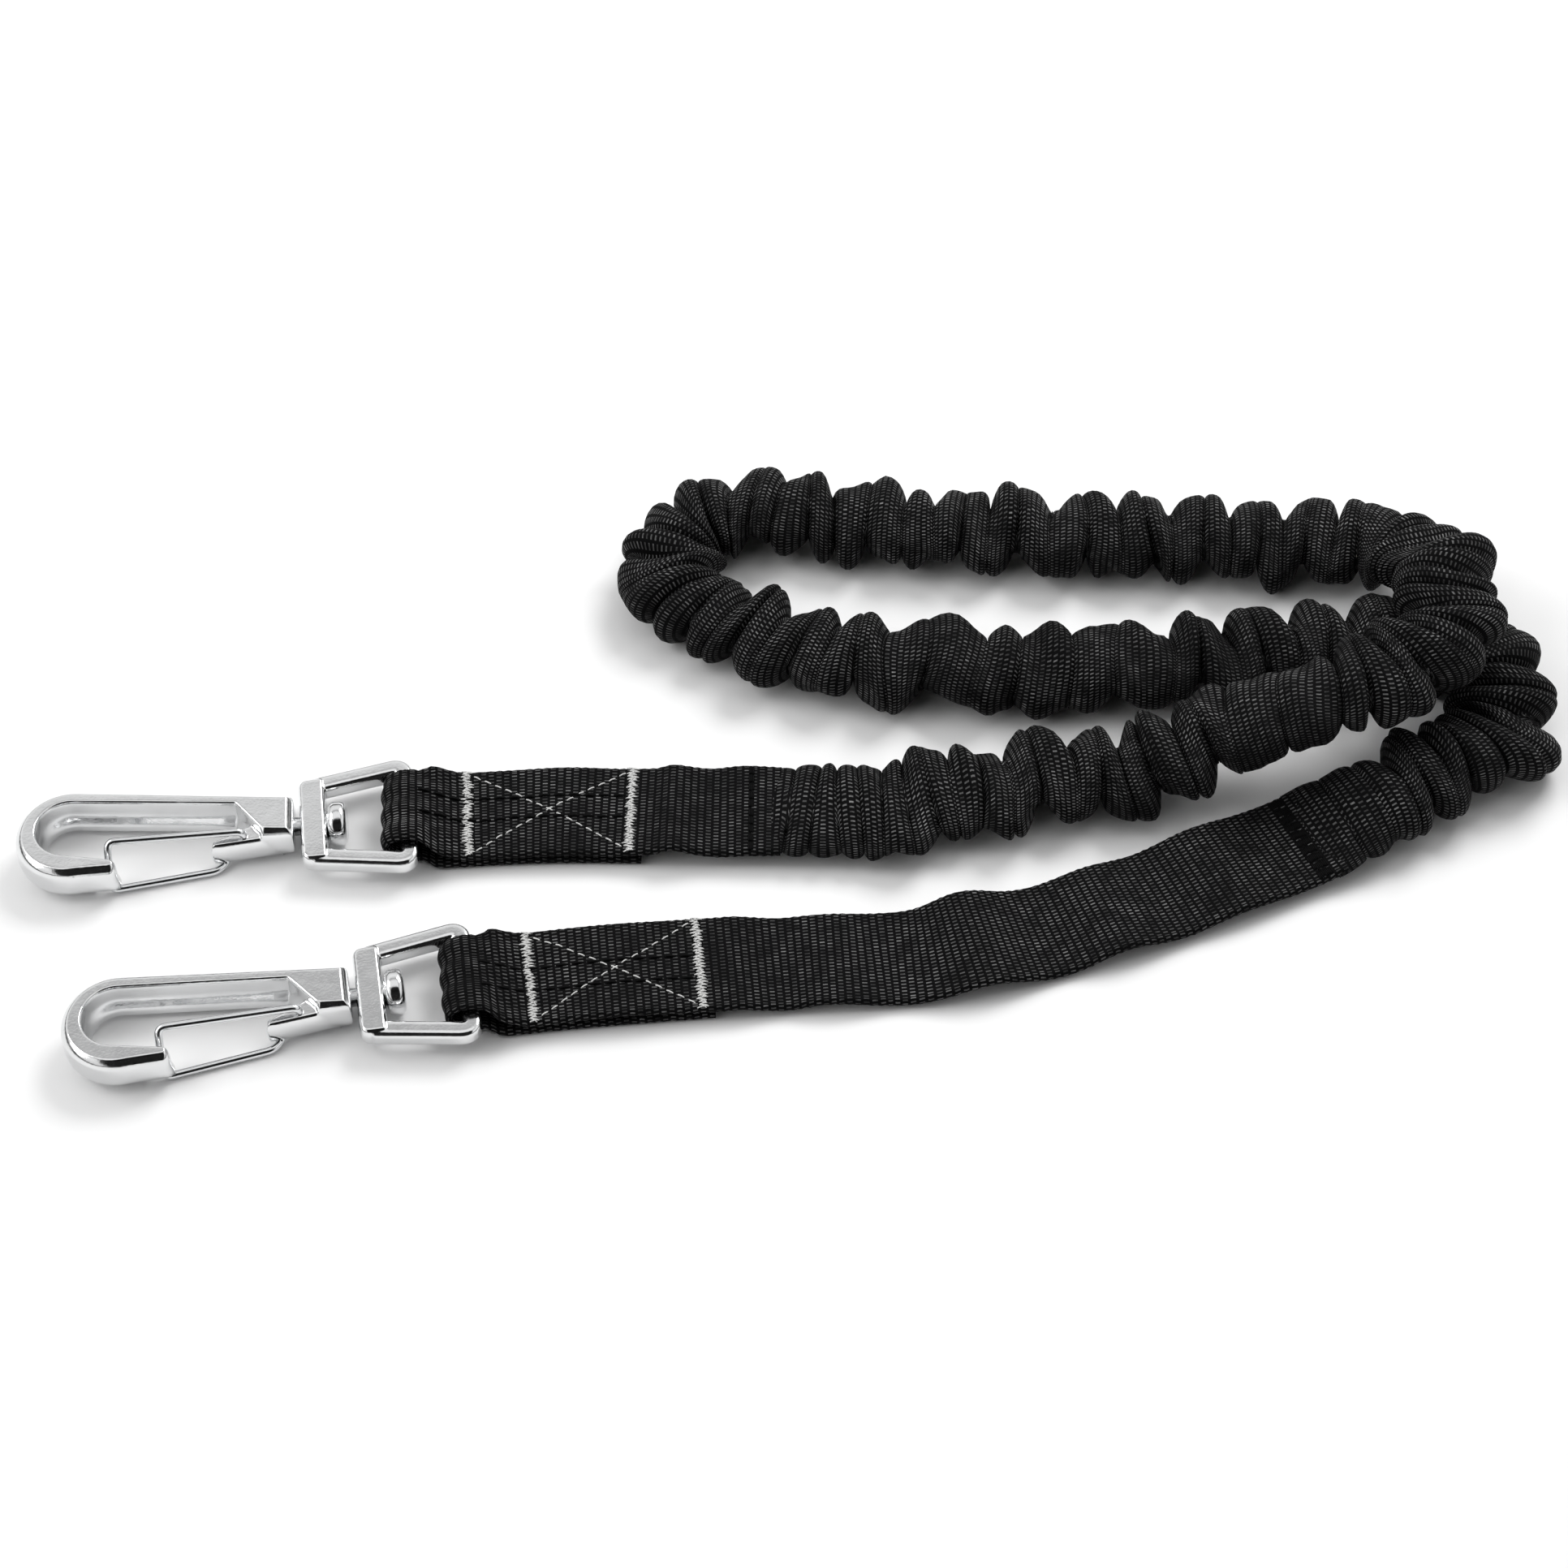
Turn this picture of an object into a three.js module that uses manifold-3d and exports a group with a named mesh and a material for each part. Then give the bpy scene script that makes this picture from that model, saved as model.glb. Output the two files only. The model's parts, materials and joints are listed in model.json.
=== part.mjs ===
// Shock absorbing lanyard: a length of black tubular webbing, gathered over a hidden elastic core,
// with a cast swivel snap hook sewn into the fold at each end. Millimetres, +Z up, lying on Z = 0.
import * as THREE from 'three';
import { mergeVertices } from 'three/addons/utils/BufferGeometryUtils.js';
import Module from 'manifold-3d';

const wasm = await Module();
wasm.setup();

// ---------------------------------------------------------------- driving dimensions
const GAP = 0.3; // clearance between neighbours that touch on the real lanyard

// Snap hook, in its own frame: origin under the swivel neck, +X towards the webbing, +Y the spine's side.
const HOOK_HEIGHT = 11;
const PIN_HEIGHT = 5.5; // swivel pin's axis above the hook's flat side
const SHANK_WIDTH = 10.4;
const BEND_CENTRE = { x: -52.1, y: -1.3 };
const BEND_RADIUS = 12.0; // outside of the bend
const THROAT_CENTRE = { x: -52.2, y: -0.3 };
const THROAT_RADIUS = 8; // inside of the bend
const SPINE_TILT = 6; // degrees that the spine opens away from the pin's axis
const NOSE_TILT = 8;
const TIP = { x: -42.8, y: -11.7, radius: 1.3 };
const THROAT_CORNER = { x: -13.5, y: 4.0 }; // where the spine's inner wall meets the shank
const SHANK_CORNER = { x: -7.0, y: -4.7 }; // where the slanted shank wall meets the gate arm
const TIP_SWEEP = 168; // degrees that the nose's rounded end turns through
const THROAT_FROM = 258; // degrees at which the throat's arc leaves the nose
const THROAT_TO = 84.5; // and meets the spine's inner wall
const ARM_BOTTOM = 2.2;
const ARM_TOP = 7.0;
const ARM_EDGE = 0.7; // rounding of the gate arm's edges
const ARM_CORNERS = [[-19.0, -6.6], [-0.9, -4.6], [-4, -1], [-9.8, -0.6], [-14.0, -2.9], [-18.8, -5.0]];
const CAST_CROWN = 4; // depth of the rounded flank above and below the middle
const CAST_SWELL = 0.8; // how far the flank stands out of the flat face's outline
const WIRE_RADIUS = 0.9;
const WIRE_HOLE_RADIUS = 1.3;
const WIRE_HOLE_DEPTH = 3; // above and below the arm's faces
const GATE_PIVOT = { x: -11.6, y: -4.2 };
const GATE_HEEL = { x: -16.2, y: -5.6 }; // the lower leg's turned-up end
const HEEL_TRAVEL = { x: -0.6, y: 1.9 }; // how far that end moves as the gate opens
const WIRE_TOP = 10.1;
const WIRE_LOW = 1.1;
const WIRE_BEND = 2.0;
const WIRE_END_HEIGHT = 4.6; // where the two turned ends stop inside the arm
const WIRE_KNEE = { x: -18.4, y: -8.4 }; // the lower leg's bend before its heel
const GATE_END_X = -43.4;
const GATE_END_TOP_Y = -4.7;
const GATE_END_LOW_Y = -12.0;
const SEAT_CLEARANCE = 0.35; // between the closed wire and its seat on the nose
const SEAT_SPAN = { before: 3, after: 16, width: 10, depth: 14 }; // the block that cuts the seat

// Swivel: eye and rivet share the pin's axis.
const PIN_RADIUS = 2.2;
const BORE_RADIUS = 2.7;
const PIN_DEPTH = 8; // length of rivet held in the hook's shank
const BASE_FROM = 1.2;
const BASE_TO = 7.8;
const BASE_HALF_WIDTH = 12.6;
const BASE_HALF_THICKNESS = 2.6;
const BASE_CORNER = 2.2;
const BASE_SWELL = 0.6; // how far its flanks stand out of its flat faces' outline
const BASE_CROWN = 0.8;
const RIVET_HEAD_RADIUS = 4.8;
const RIVET_HEAD_THICKNESS = 4.3;
const RIVET_HEAD_EDGE = 0.9;
const LEG_RADIUS = 2.35;
const LEG_HALF_SPAN_BASE = 10.6;
const LEG_HALF_SPAN_BAR = 14.5;
const BAR_DISTANCE = 26.6; // neck to crossbar
const EYE_CORNER = 3.2;

// Webbing.
const WEB_HALF_WIDTH = 13.3;
const WEB_THICKNESS = 2.2;
const FOLD_HALF_WIDTH = 10.3; // squeezed between the eye's legs
const FOLD_RADIUS = 4.1; // height of the webbing's mid-plane over the crossbar's middle
const FOLD_REACH = 5.0; // the same, measured towards the hook
const FOLD_BLEND = 15; // distance over which the upper layer comes down to the tail
const TAIL_LENGTH = 58;
const TAIL_STEP = 15; // distance over which the strap comes down past the tail's end
const TAIL_HEIGHT = WEB_THICKNESS / 2 + 0.1;
const DOUBLE_HEIGHT = TAIL_HEIGHT + WEB_THICKNESS + GAP; // upper layer's mid-plane over the tail
const SLEEVE_FROM = 86; // crossbar 1 to the sleeve's mouth, along the strap
const SLEEVE_TO = 204; // crossbar 2 to the sleeve's mouth
const SLEEVE_WALL = 1.2;
const SLEEVE_SIDES = 12;
const CORE_WIDTH = 11;
const CORE_THICKNESS = 2.2;
const CORE_INSET = 3;

// Sewing, measured along the strap from its crossbar.
const ROW_LIFT = GAP; // black rows lie on the webbing
const ROW_THICKNESS = 0.4;
const WHITE_LIFT = ROW_LIFT + ROW_THICKNESS + GAP; // white tacks and cross lie over the rows
const TACK_LENGTH = 2.6;
const TACK_THICKNESS = 0.6;
const NEAR_TACK = 13;
const FAR_TACK = 52;
const TACK_HALF_WIDTH = 12.8;
const THREAD_HALF_WIDTH = 0.5;
const THREAD_THICKNESS = 0.5;
const THREAD_STEP = 2.5;
const ROW_FROM = 4;
const ROW_OFFSETS = [4.2, -2.2];
const ANCHOR_OFFSET = 1; // core anchor tack, from the sleeve's mouth back along the flat strap
const ANCHOR_LENGTH = 3.6;

// Where the two hooks lie, and the strap's route between their crossbars.
const HOOKS = [
  { id: '1', x: -120.6, y: -24.9, yaw: 5, eyeYaw: 7.5 },
  { id: '2', x: -103.3, y: -75.2, yaw: 9.5, eyeYaw: 9.5 },
];
const ROUTE = [
  [-60, -19.2, 1.3], [-17.5, -19.6, 4], [21, -19.0, 6.5], [60, -11.6, 8],
  [79.5, -9.4, 8.6], [113, -1.2, 20], [128, 1.2, 24], [142, 6.6, 25],
  [153, 18.0, 25], [157.5, 33.0, 24], [156, 49.0, 19], [148.5, 60.5, 12.5],
  [136, 64.8, 8.5], [115, 66.8, 8], [73, 69.0, 8], [31, 71.6, 8],
  [-9, 75.8, 8], [-24, 74.4, 8], [-33, 66.0, 8], [-33.5, 54.0, 8],
  [-25, 43.0, 8], [-10, 33.5, 8], [8, 27.4, 8], [51, 23.4, 8],
  [74, 23.4, 8], [97, 26.0, 8], [142, 32.2, 8], [158, 31.4, 8],
  [168.5, 24.5, 8], [170.5, 10.5, 8], [163.5, -3.2, 8], [134, -19.4, 7.5],
  [116, -28.6, 3.5], [76, -46.4, 1.3], [38, -58.8, 1.3], [17, -61.6, 1.3],
  [-5, -63.0, 1.3], [-50, -67.2, 1.3],
];
// Moves that layout so that the middle of the whole lanyard's box is the origin.
const CENTRE_SHIFT = { x: 1.93, y: 5.49 };

// ---------------------------------------------------------------- solids and booleans
function toSolid(geometry) {
  const bare = geometry.clone();
  bare.deleteAttribute('normal');
  bare.deleteAttribute('uv');
  const merged = mergeVertices(bare, 1e-4);
  return new wasm.Manifold(new wasm.Mesh({
    numProp: 3,
    vertProperties: new Float32Array(merged.attributes.position.array),
    triVerts: new Uint32Array(merged.index.array),
  }));
}

function fromSolid(solid) {
  const mesh = solid.getMesh();
  const geometry = new THREE.BufferGeometry();
  geometry.setAttribute('position', new THREE.BufferAttribute(new Float32Array(mesh.vertProperties), 3));
  geometry.setIndex(new THREE.BufferAttribute(new Uint32Array(mesh.triVerts), 1));
  geometry.computeVertexNormals();
  return geometry;
}

function cylinderAlongX(radius, from, to, height, sides = 20) {
  const geometry = new THREE.CylinderGeometry(radius, radius, to - from, sides);
  geometry.rotateZ(Math.PI / 2);
  geometry.translate((from + to) / 2, 0, height);
  return geometry;
}

// A plate of the given plan outline between two heights, with its edges rounded off.
function plate(shape, bottom, top, crown, swell, segments = 2) {
  const geometry = new THREE.ExtrudeGeometry(shape, {
    depth: top - bottom - 2 * crown,
    bevelThickness: crown,
    bevelSize: swell,
    bevelSegments: segments,
    curveSegments: 9,
  });
  geometry.translate(0, 0, bottom + crown);
  return geometry;
}

// ---------------------------------------------------------------- lofts for soft pieces
// Rings of equal length joined into one closed body. With inner rings it is a tube with open ends.
function loft(rings, innerRings = null) {
  const positions = [];
  const indices = [];
  const addRings = (list) => {
    const base = positions.length / 3;
    list.forEach((ring) => ring.forEach((p) => positions.push(p.x, p.y, p.z)));
    return base;
  };
  const count = rings[0].length;
  const last = rings.length - 1;
  const side = (base, flip) => {
    for (let i = 0; i < last; i += 1) {
      for (let j = 0; j < count; j += 1) {
        const a = base + i * count + j;
        const b = base + i * count + ((j + 1) % count);
        const quad = [a, b, b + count, a + count];
        if (flip) quad.reverse();
        indices.push(quad[0], quad[1], quad[2], quad[0], quad[2], quad[3]);
      }
    }
  };
  const outer = addRings(rings);
  side(outer, false);
  if (innerRings) {
    const inner = addRings(innerRings);
    side(inner, true);
    for (let j = 0; j < count; j += 1) {
      const k = (j + 1) % count;
      indices.push(outer + j, inner + j, inner + k, outer + j, inner + k, outer + k);
      const o = outer + last * count;
      const n = inner + last * count;
      indices.push(o + j, o + k, n + k, o + j, n + k, n + j);
    }
  } else {
    for (let j = 1; j < count - 1; j += 1) {
      indices.push(0, j + 1, j);
      indices.push(last * count, last * count + j, last * count + j + 1);
    }
  }
  if (signedVolume(positions, indices) < 0) indices.reverse();
  const geometry = new THREE.BufferGeometry();
  geometry.setAttribute('position', new THREE.BufferAttribute(new Float32Array(positions), 3));
  geometry.setIndex(indices);
  geometry.computeVertexNormals();
  return geometry;
}

// Six times the enclosed volume, positive when the faces point outwards.
function signedVolume(positions, indices) {
  const corner = (i) => new THREE.Vector3().fromArray(positions, indices[i] * 3);
  let sum = 0;
  for (let i = 0; i < indices.length; i += 3) {
    sum += corner(i).dot(corner(i + 1).cross(corner(i + 2)));
  }
  return sum;
}

// A straight run of stations between two distances, ends included.
function stations(from, to, step) {
  const count = Math.max(1, Math.round(Math.abs(to - from) / step));
  return Array.from({ length: count + 1 }, (_, i) => from + ((to - from) * i) / count);
}

const smooth = (x, from, to) => THREE.MathUtils.smoothstep(x, from, to);

// Value that passes smoothly through [position, value] pairs.
function profile(pairs, x) {
  let value = pairs[0][1];
  for (let i = 1; i < pairs.length; i += 1) {
    const [from, to] = [pairs[i - 1], pairs[i]];
    if (x >= from[0]) value = THREE.MathUtils.lerp(from[1], to[1], smooth(x, from[0], to[0]));
  }
  return value;
}

// ---------------------------------------------------------------- the strap's route
function crossbarOf(hook) {
  const yaw = THREE.MathUtils.degToRad(hook.eyeYaw);
  return [hook.x + BAR_DISTANCE * Math.cos(yaw), hook.y + BAR_DISTANCE * Math.sin(yaw), WEB_THICKNESS / 2 + 0.1];
}

const route = new THREE.CatmullRomCurve3(
  [crossbarOf(HOOKS[0]), ...ROUTE, crossbarOf(HOOKS[1])].map((p) => new THREE.Vector3(...p)),
  false,
  'catmullrom',
  0.5,
);
route.arcLengthDivisions = 3000;
const STRAP_LENGTH = route.getLength();
const SLEEVE_END = STRAP_LENGTH - SLEEVE_TO;

// Point, level sideways direction and upward direction at a distance from crossbar 1.
function strapFrame(distance) {
  const inside = THREE.MathUtils.clamp(distance, 0, STRAP_LENGTH);
  const at = route.getPointAt(inside / STRAP_LENGTH);
  const along = route.getTangentAt(inside / STRAP_LENGTH);
  at.addScaledVector(along, distance - inside);
  const side = new THREE.Vector3(-along.y, along.x, 0).normalize();
  const up = new THREE.Vector3().crossVectors(along, side);
  return { at, side, up };
}

// Distances from a hook's own crossbar become distances from crossbar 1.
const fromBar = (hookIndex, distance) => (hookIndex === 0 ? distance : STRAP_LENGTH - distance);

function rectangle(centre, side, up, left, right, below, above) {
  const corner = (s, u) => centre.clone().addScaledVector(side, s).addScaledVector(up, u);
  return [corner(left, below), corner(right, below), corner(right, above), corner(left, above)];
}

// ---------------------------------------------------------------- webbing
// Height of the upper layer's mid-plane above the floor, over the tail and just past it.
function upperHeight(distance) {
  return THREE.MathUtils.lerp(PIN_HEIGHT + FOLD_RADIUS, DOUBLE_HEIGHT, smooth(distance, 0, FOLD_BLEND));
}

function foldHalfWidth(distance) {
  return THREE.MathUtils.lerp(FOLD_HALF_WIDTH, WEB_HALF_WIDTH, smooth(distance, 2.5, 8));
}

// One end of the webbing: out along the floor under itself, round the crossbar and back over its tail.
function webbingEnd(hookIndex, length) {
  const path = [];
  stations(TAIL_LENGTH, 0, 7).forEach((d) => {
    const rise = PIN_HEIGHT - FOLD_RADIUS - TAIL_HEIGHT;
    path.push({ d, height: TAIL_HEIGHT + rise * (1 - smooth(d, 0, FOLD_BLEND)), lean: 0 });
  });
  stations(-67.5, 67.5, 22.5).forEach((degrees) => {
    const angle = THREE.MathUtils.degToRad(degrees);
    path.push({
      d: -FOLD_REACH * Math.cos(angle),
      height: PIN_HEIGHT + FOLD_RADIUS * Math.sin(angle),
      lean: angle + Math.PI / 2,
    });
  });
  const past = TAIL_LENGTH + 2;
  const drop = (d) => (DOUBLE_HEIGHT - TAIL_HEIGHT) * (1 - smooth(d, past, past + TAIL_STEP));
  [...stations(0, FOLD_BLEND, 2.5), ...stations(FOLD_BLEND + 7, past, 7)].forEach((d) => {
    path.push({ d, height: upperHeight(d), lean: Math.PI });
  });
  stations(past + 4, length, 6).forEach((d) => {
    path.push({ d, lift: drop(d), lean: Math.PI });
  });
  const rings = path.map(({ d, height, lift, lean }, i) => {
    const frame = strapFrame(fromBar(hookIndex, d));
    const centre = frame.at.clone();
    if (height !== undefined) centre.z = height;
    else centre.addScaledVector(frame.up, lift);
    const half = foldHalfWidth(d);
    const sideSign = hookIndex === 0 ? 1 : -1;
    const side = frame.side.clone().multiplyScalar(sideSign);
    const forward = new THREE.Vector3().crossVectors(side, frame.up);
    const onFold = lean > 0 && lean < Math.PI;
    const up = onFold
      ? frame.up.clone().multiplyScalar(-Math.cos(lean)).addScaledVector(forward, -Math.sin(lean))
      : frame.up.clone().multiplyScalar(lean === 0 ? -1 : 1);
    const t = WEB_THICKNESS / 2;
    return rectangle(centre, side, up, -half, half, -t, t);
  });
  return loft(rings);
}

// Sleeve's full width and height along it, flat at its mouths and full in between.
const SLEEVE_WIDTHS = [[0, 26.6], [12, 28], [55, 26.5], [85, 22.5], [660, 22.5], [680, 26.6]];
const SLEEVE_HEIGHTS = [[0, 5.4], [16, 9], [55, 11], [85, 15.6], [655, 15.6], [680, 5.4]];

// Sections are stretched to the sleeve's true length, so that both mouths stay flat.
function sleeveSection(fraction, inset) {
  const nominal = fraction * SLEEVE_WIDTHS.at(-1)[0];
  return {
    halfWidth: profile(SLEEVE_WIDTHS, nominal) / 2 - inset,
    halfHeight: profile(SLEEVE_HEIGHTS, nominal) / 2 - inset,
  };
}

function sleeveRing(distance, inset) {
  const fraction = (distance - SLEEVE_FROM) / (SLEEVE_END - SLEEVE_FROM);
  const { halfWidth, halfHeight } = sleeveSection(fraction, inset);
  const { at, side, up } = strapFrame(distance);
  const centre = at.clone();
  centre.z = Math.max(centre.z, sleeveSection(fraction, 0).halfHeight + 0.1);
  return Array.from({ length: SLEEVE_SIDES }, (_, j) => {
    const angle = (2 * Math.PI * (j + 0.5)) / SLEEVE_SIDES;
    return centre.clone()
      .addScaledVector(side, -Math.cos(angle) * halfWidth)
      .addScaledVector(up, Math.sin(angle) * halfHeight / Math.cos(Math.PI / SLEEVE_SIDES));
  });
}

function sleeve() {
  const cuts = stations(SLEEVE_FROM + GAP, SLEEVE_END - GAP, 11);
  return loft(cuts.map((d) => sleeveRing(d, 0)), cuts.map((d) => sleeveRing(d, SLEEVE_WALL)));
}

function elasticCore() {
  const cuts = stations(SLEEVE_FROM + CORE_INSET, SLEEVE_END - CORE_INSET, 11);
  return loft(cuts.map((d) => {
    const fraction = (d - SLEEVE_FROM) / (SLEEVE_END - SLEEVE_FROM);
    const { at, side, up } = strapFrame(d);
    const centre = at.clone();
    centre.z = Math.max(centre.z, sleeveSection(fraction, 0).halfHeight + 0.1);
    const [w, t] = [CORE_WIDTH / 2, CORE_THICKNESS / 2];
    return rectangle(centre, side, up, w, -w, -t, t);
  }));
}

// ---------------------------------------------------------------- sewing
// A thin band lying just above the strap's upper layer. edges(d) gives its two sideways limits.
function threadBand(hookIndex, from, to, step, edges, lift, thickness) {
  const rings = stations(from, to, step).map((d) => {
    const { at, side, up } = strapFrame(fromBar(hookIndex, d));
    const centre = at.clone();
    centre.z = upperHeight(d);
    const [low, high] = edges(d);
    const floor = WEB_THICKNESS / 2 + lift;
    return rectangle(centre, side, up, high, low, floor, floor + thickness);
  });
  return loft(rings);
}

function barTack(hookIndex, from) {
  return threadBand(hookIndex, from, from + TACK_LENGTH, TACK_LENGTH,
    () => [-TACK_HALF_WIDTH, TACK_HALF_WIDTH], WHITE_LIFT, TACK_THICKNESS);
}

function crossStitch(hookIndex) {
  const from = NEAR_TACK + TACK_LENGTH + GAP;
  const to = FAR_TACK - GAP;
  const reach = TACK_HALF_WIDTH - 1;
  const diagonal = (sign) => threadBand(hookIndex, from, to, (to - from) / 4, (d) => {
    const middle = sign * THREE.MathUtils.mapLinear(d, from, to, -reach, reach);
    return [middle - THREAD_HALF_WIDTH, middle + THREAD_HALF_WIDTH];
  }, WHITE_LIFT, THREAD_THICKNESS);
  return toSolid(diagonal(1)).add(toSolid(diagonal(-1)));
}

// A straight row along the doubled webbing, under the white stitching.
function seamRow(hookIndex, offset) {
  return threadBand(hookIndex, ROW_FROM, FAR_TACK, THREAD_STEP,
    () => [offset - THREAD_HALF_WIDTH, offset + THREAD_HALF_WIDTH], ROW_LIFT, ROW_THICKNESS);
}

// Black tack across the single strap that holds the core's end.
function anchorTack(hookIndex) {
  const mouth = hookIndex === 0 ? SLEEVE_FROM : SLEEVE_TO;
  const from = mouth - ANCHOR_OFFSET - ANCHOR_LENGTH;
  const rings = stations(from, from + ANCHOR_LENGTH, ANCHOR_LENGTH).map((d) => {
    const { at, side, up } = strapFrame(fromBar(hookIndex, d));
    const floor = WEB_THICKNESS / 2 + ROW_LIFT;
    return rectangle(at, side, up, TACK_HALF_WIDTH, -TACK_HALF_WIDTH, floor, floor + TACK_THICKNESS);
  });
  return loft(rings);
}

// ---------------------------------------------------------------- snap hook
function hookOutline() {
  const rad = THREE.MathUtils.degToRad;
  const shape = new THREE.Shape();
  shape.moveTo(SHANK_CORNER.x, SHANK_CORNER.y);
  shape.lineTo(-CAST_SWELL, -SHANK_WIDTH / 2);
  shape.lineTo(-CAST_SWELL, SHANK_WIDTH / 2);
  shape.absarc(BEND_CENTRE.x, BEND_CENTRE.y, BEND_RADIUS, rad(90 - SPINE_TILT), rad(270 + NOSE_TILT), false);
  shape.absarc(TIP.x, TIP.y, TIP.radius, rad(270 + NOSE_TILT), rad(270 + TIP_SWEEP), false);
  shape.absarc(THROAT_CENTRE.x, THROAT_CENTRE.y, THROAT_RADIUS, rad(THROAT_FROM), rad(THROAT_TO), true);
  shape.lineTo(THROAT_CORNER.x, THROAT_CORNER.y);
  shape.closePath();
  return shape;
}

const armOutline = () => new THREE.Shape(ARM_CORNERS.map(([x, y]) => new THREE.Vector2(x, y)));

// Round hole under the upper leg, and a slot under the arm for the lower leg's end.
function wireHoles() {
  const upper = new THREE.CylinderGeometry(WIRE_HOLE_RADIUS, WIRE_HOLE_RADIUS, 2 * WIRE_HOLE_DEPTH, 12);
  upper.rotateX(Math.PI / 2);
  upper.translate(GATE_PIVOT.x, GATE_PIVOT.y, ARM_TOP);
  const slot = new THREE.Shape();
  const turn = Math.atan2(HEEL_TRAVEL.y, HEEL_TRAVEL.x);
  const r = WIRE_HOLE_RADIUS;
  slot.absarc(GATE_HEEL.x, GATE_HEEL.y, r, turn + Math.PI / 2, turn + 1.5 * Math.PI, false);
  slot.absarc(GATE_HEEL.x + HEEL_TRAVEL.x, GATE_HEEL.y + HEEL_TRAVEL.y, r, turn - Math.PI / 2, turn + Math.PI / 2, false);
  const lower = new THREE.ExtrudeGeometry(slot, { depth: WIRE_HOLE_DEPTH + 1, bevelEnabled: false, curveSegments: 5 });
  lower.translate(0, 0, ARM_BOTTOM - 1);
  return [upper, lower];
}

// Slanting seat on the nose for the closed end of the wire.
function gateSeat() {
  const along = new THREE.Vector2(GATE_END_LOW_Y - GATE_END_TOP_Y, WIRE_LOW - WIRE_TOP).normalize();
  const out = new THREE.Vector2(along.y, -along.x); // towards the nose
  const start = new THREE.Vector2(GATE_END_TOP_Y, WIRE_TOP).addScaledVector(out, WIRE_RADIUS + SEAT_CLEARANCE);
  const a = start.clone().addScaledVector(along, -SEAT_SPAN.before);
  const b = start.clone().addScaledVector(along, SEAT_SPAN.after);
  const seat = new THREE.Shape([
    a,
    b,
    new THREE.Vector2(b.x + SEAT_SPAN.depth, b.y - SEAT_SPAN.before),
    new THREE.Vector2(a.x + SEAT_SPAN.depth / 2, a.y),
  ]);
  const block = new THREE.ExtrudeGeometry(seat, { depth: SEAT_SPAN.width, bevelEnabled: false });
  block.rotateX(Math.PI / 2);
  block.rotateZ(Math.PI / 2);
  block.translate(GATE_END_X - SEAT_SPAN.width / 3, 0, 0);
  return block;
}

function hookBody() {
  const body = plate(hookOutline(), 0, HOOK_HEIGHT, CAST_CROWN, CAST_SWELL, 3);
  const arm = plate(armOutline(), ARM_BOTTOM, ARM_TOP, ARM_EDGE, ARM_EDGE);
  let solid = toSolid(body).add(toSolid(arm));
  solid = solid.subtract(toSolid(cylinderAlongX(BORE_RADIUS, -PIN_DEPTH - GAP, 3, PIN_HEIGHT)));
  wireHoles().forEach((hole) => { solid = solid.subtract(toSolid(hole)); });
  return solid.subtract(toSolid(gateSeat()));
}

// Straight runs joined by a bend at each corner.
function bentPath(corners, bend, closed = false) {
  const points = corners.map((c) => new THREE.Vector3(...c));
  const path = new THREE.CurvePath();
  const count = points.length;
  const trim = (at, towards) => {
    const reach = Math.min(bend, at.distanceTo(towards) / 2);
    return at.clone().add(towards.clone().sub(at).setLength(reach));
  };
  let from = closed ? trim(points[0], points[1]) : points[0];
  const lastCorner = closed ? count : count - 2;
  for (let i = 1; i <= lastCorner; i += 1) {
    const corner = points[i % count];
    const enter = trim(corner, points[i - 1]);
    const leave = trim(corner, points[(i + 1) % count]);
    path.add(new THREE.LineCurve3(from, enter));
    path.add(new THREE.QuadraticBezierCurve3(enter, corner, leave));
    from = leave;
  }
  if (!closed) path.add(new THREE.LineCurve3(from, points[count - 1]));
  return path;
}

function circleShape(radius, sides) {
  const points = Array.from({ length: sides }, (_, i) => {
    const angle = (2 * Math.PI * i) / sides;
    return new THREE.Vector2(Math.cos(angle) * radius, Math.sin(angle) * radius);
  });
  return new THREE.Shape(points);
}

function rod(path, radius, sides, steps) {
  return new THREE.ExtrudeGeometry(circleShape(radius, sides), { extrudePath: path, steps, bevelEnabled: false });
}

// Wire gate: a rectangle of spring wire whose two turned ends stand in the arm.
function wireGate() {
  return rod(bentPath([
    [GATE_PIVOT.x, GATE_PIVOT.y, WIRE_END_HEIGHT],
    [GATE_PIVOT.x, GATE_PIVOT.y, WIRE_TOP],
    [GATE_END_X, GATE_END_TOP_Y, WIRE_TOP],
    [GATE_END_X, GATE_END_LOW_Y, WIRE_LOW],
    [WIRE_KNEE.x, WIRE_KNEE.y, WIRE_LOW],
    [GATE_HEEL.x, GATE_HEEL.y, WIRE_LOW],
    [GATE_HEEL.x, GATE_HEEL.y, WIRE_END_HEIGHT],
  ], WIRE_BEND), WIRE_RADIUS, 8, 66);
}

function rivet() {
  const head = BASE_TO + GAP;
  const outline = [
    [0, -PIN_DEPTH], [PIN_RADIUS, -PIN_DEPTH], [PIN_RADIUS, head], [RIVET_HEAD_RADIUS - RIVET_HEAD_EDGE, head],
    [RIVET_HEAD_RADIUS, head + RIVET_HEAD_EDGE],
    [RIVET_HEAD_RADIUS, head + RIVET_HEAD_THICKNESS - RIVET_HEAD_EDGE],
    [RIVET_HEAD_RADIUS - RIVET_HEAD_EDGE, head + RIVET_HEAD_THICKNESS], [0, head + RIVET_HEAD_THICKNESS],
  ];
  const geometry = new THREE.LatheGeometry(outline.map(([r, x]) => new THREE.Vector2(r, x)), 20);
  geometry.rotateZ(-Math.PI / 2);
  geometry.translate(0, 0, PIN_HEIGHT);
  return geometry;
}

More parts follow.
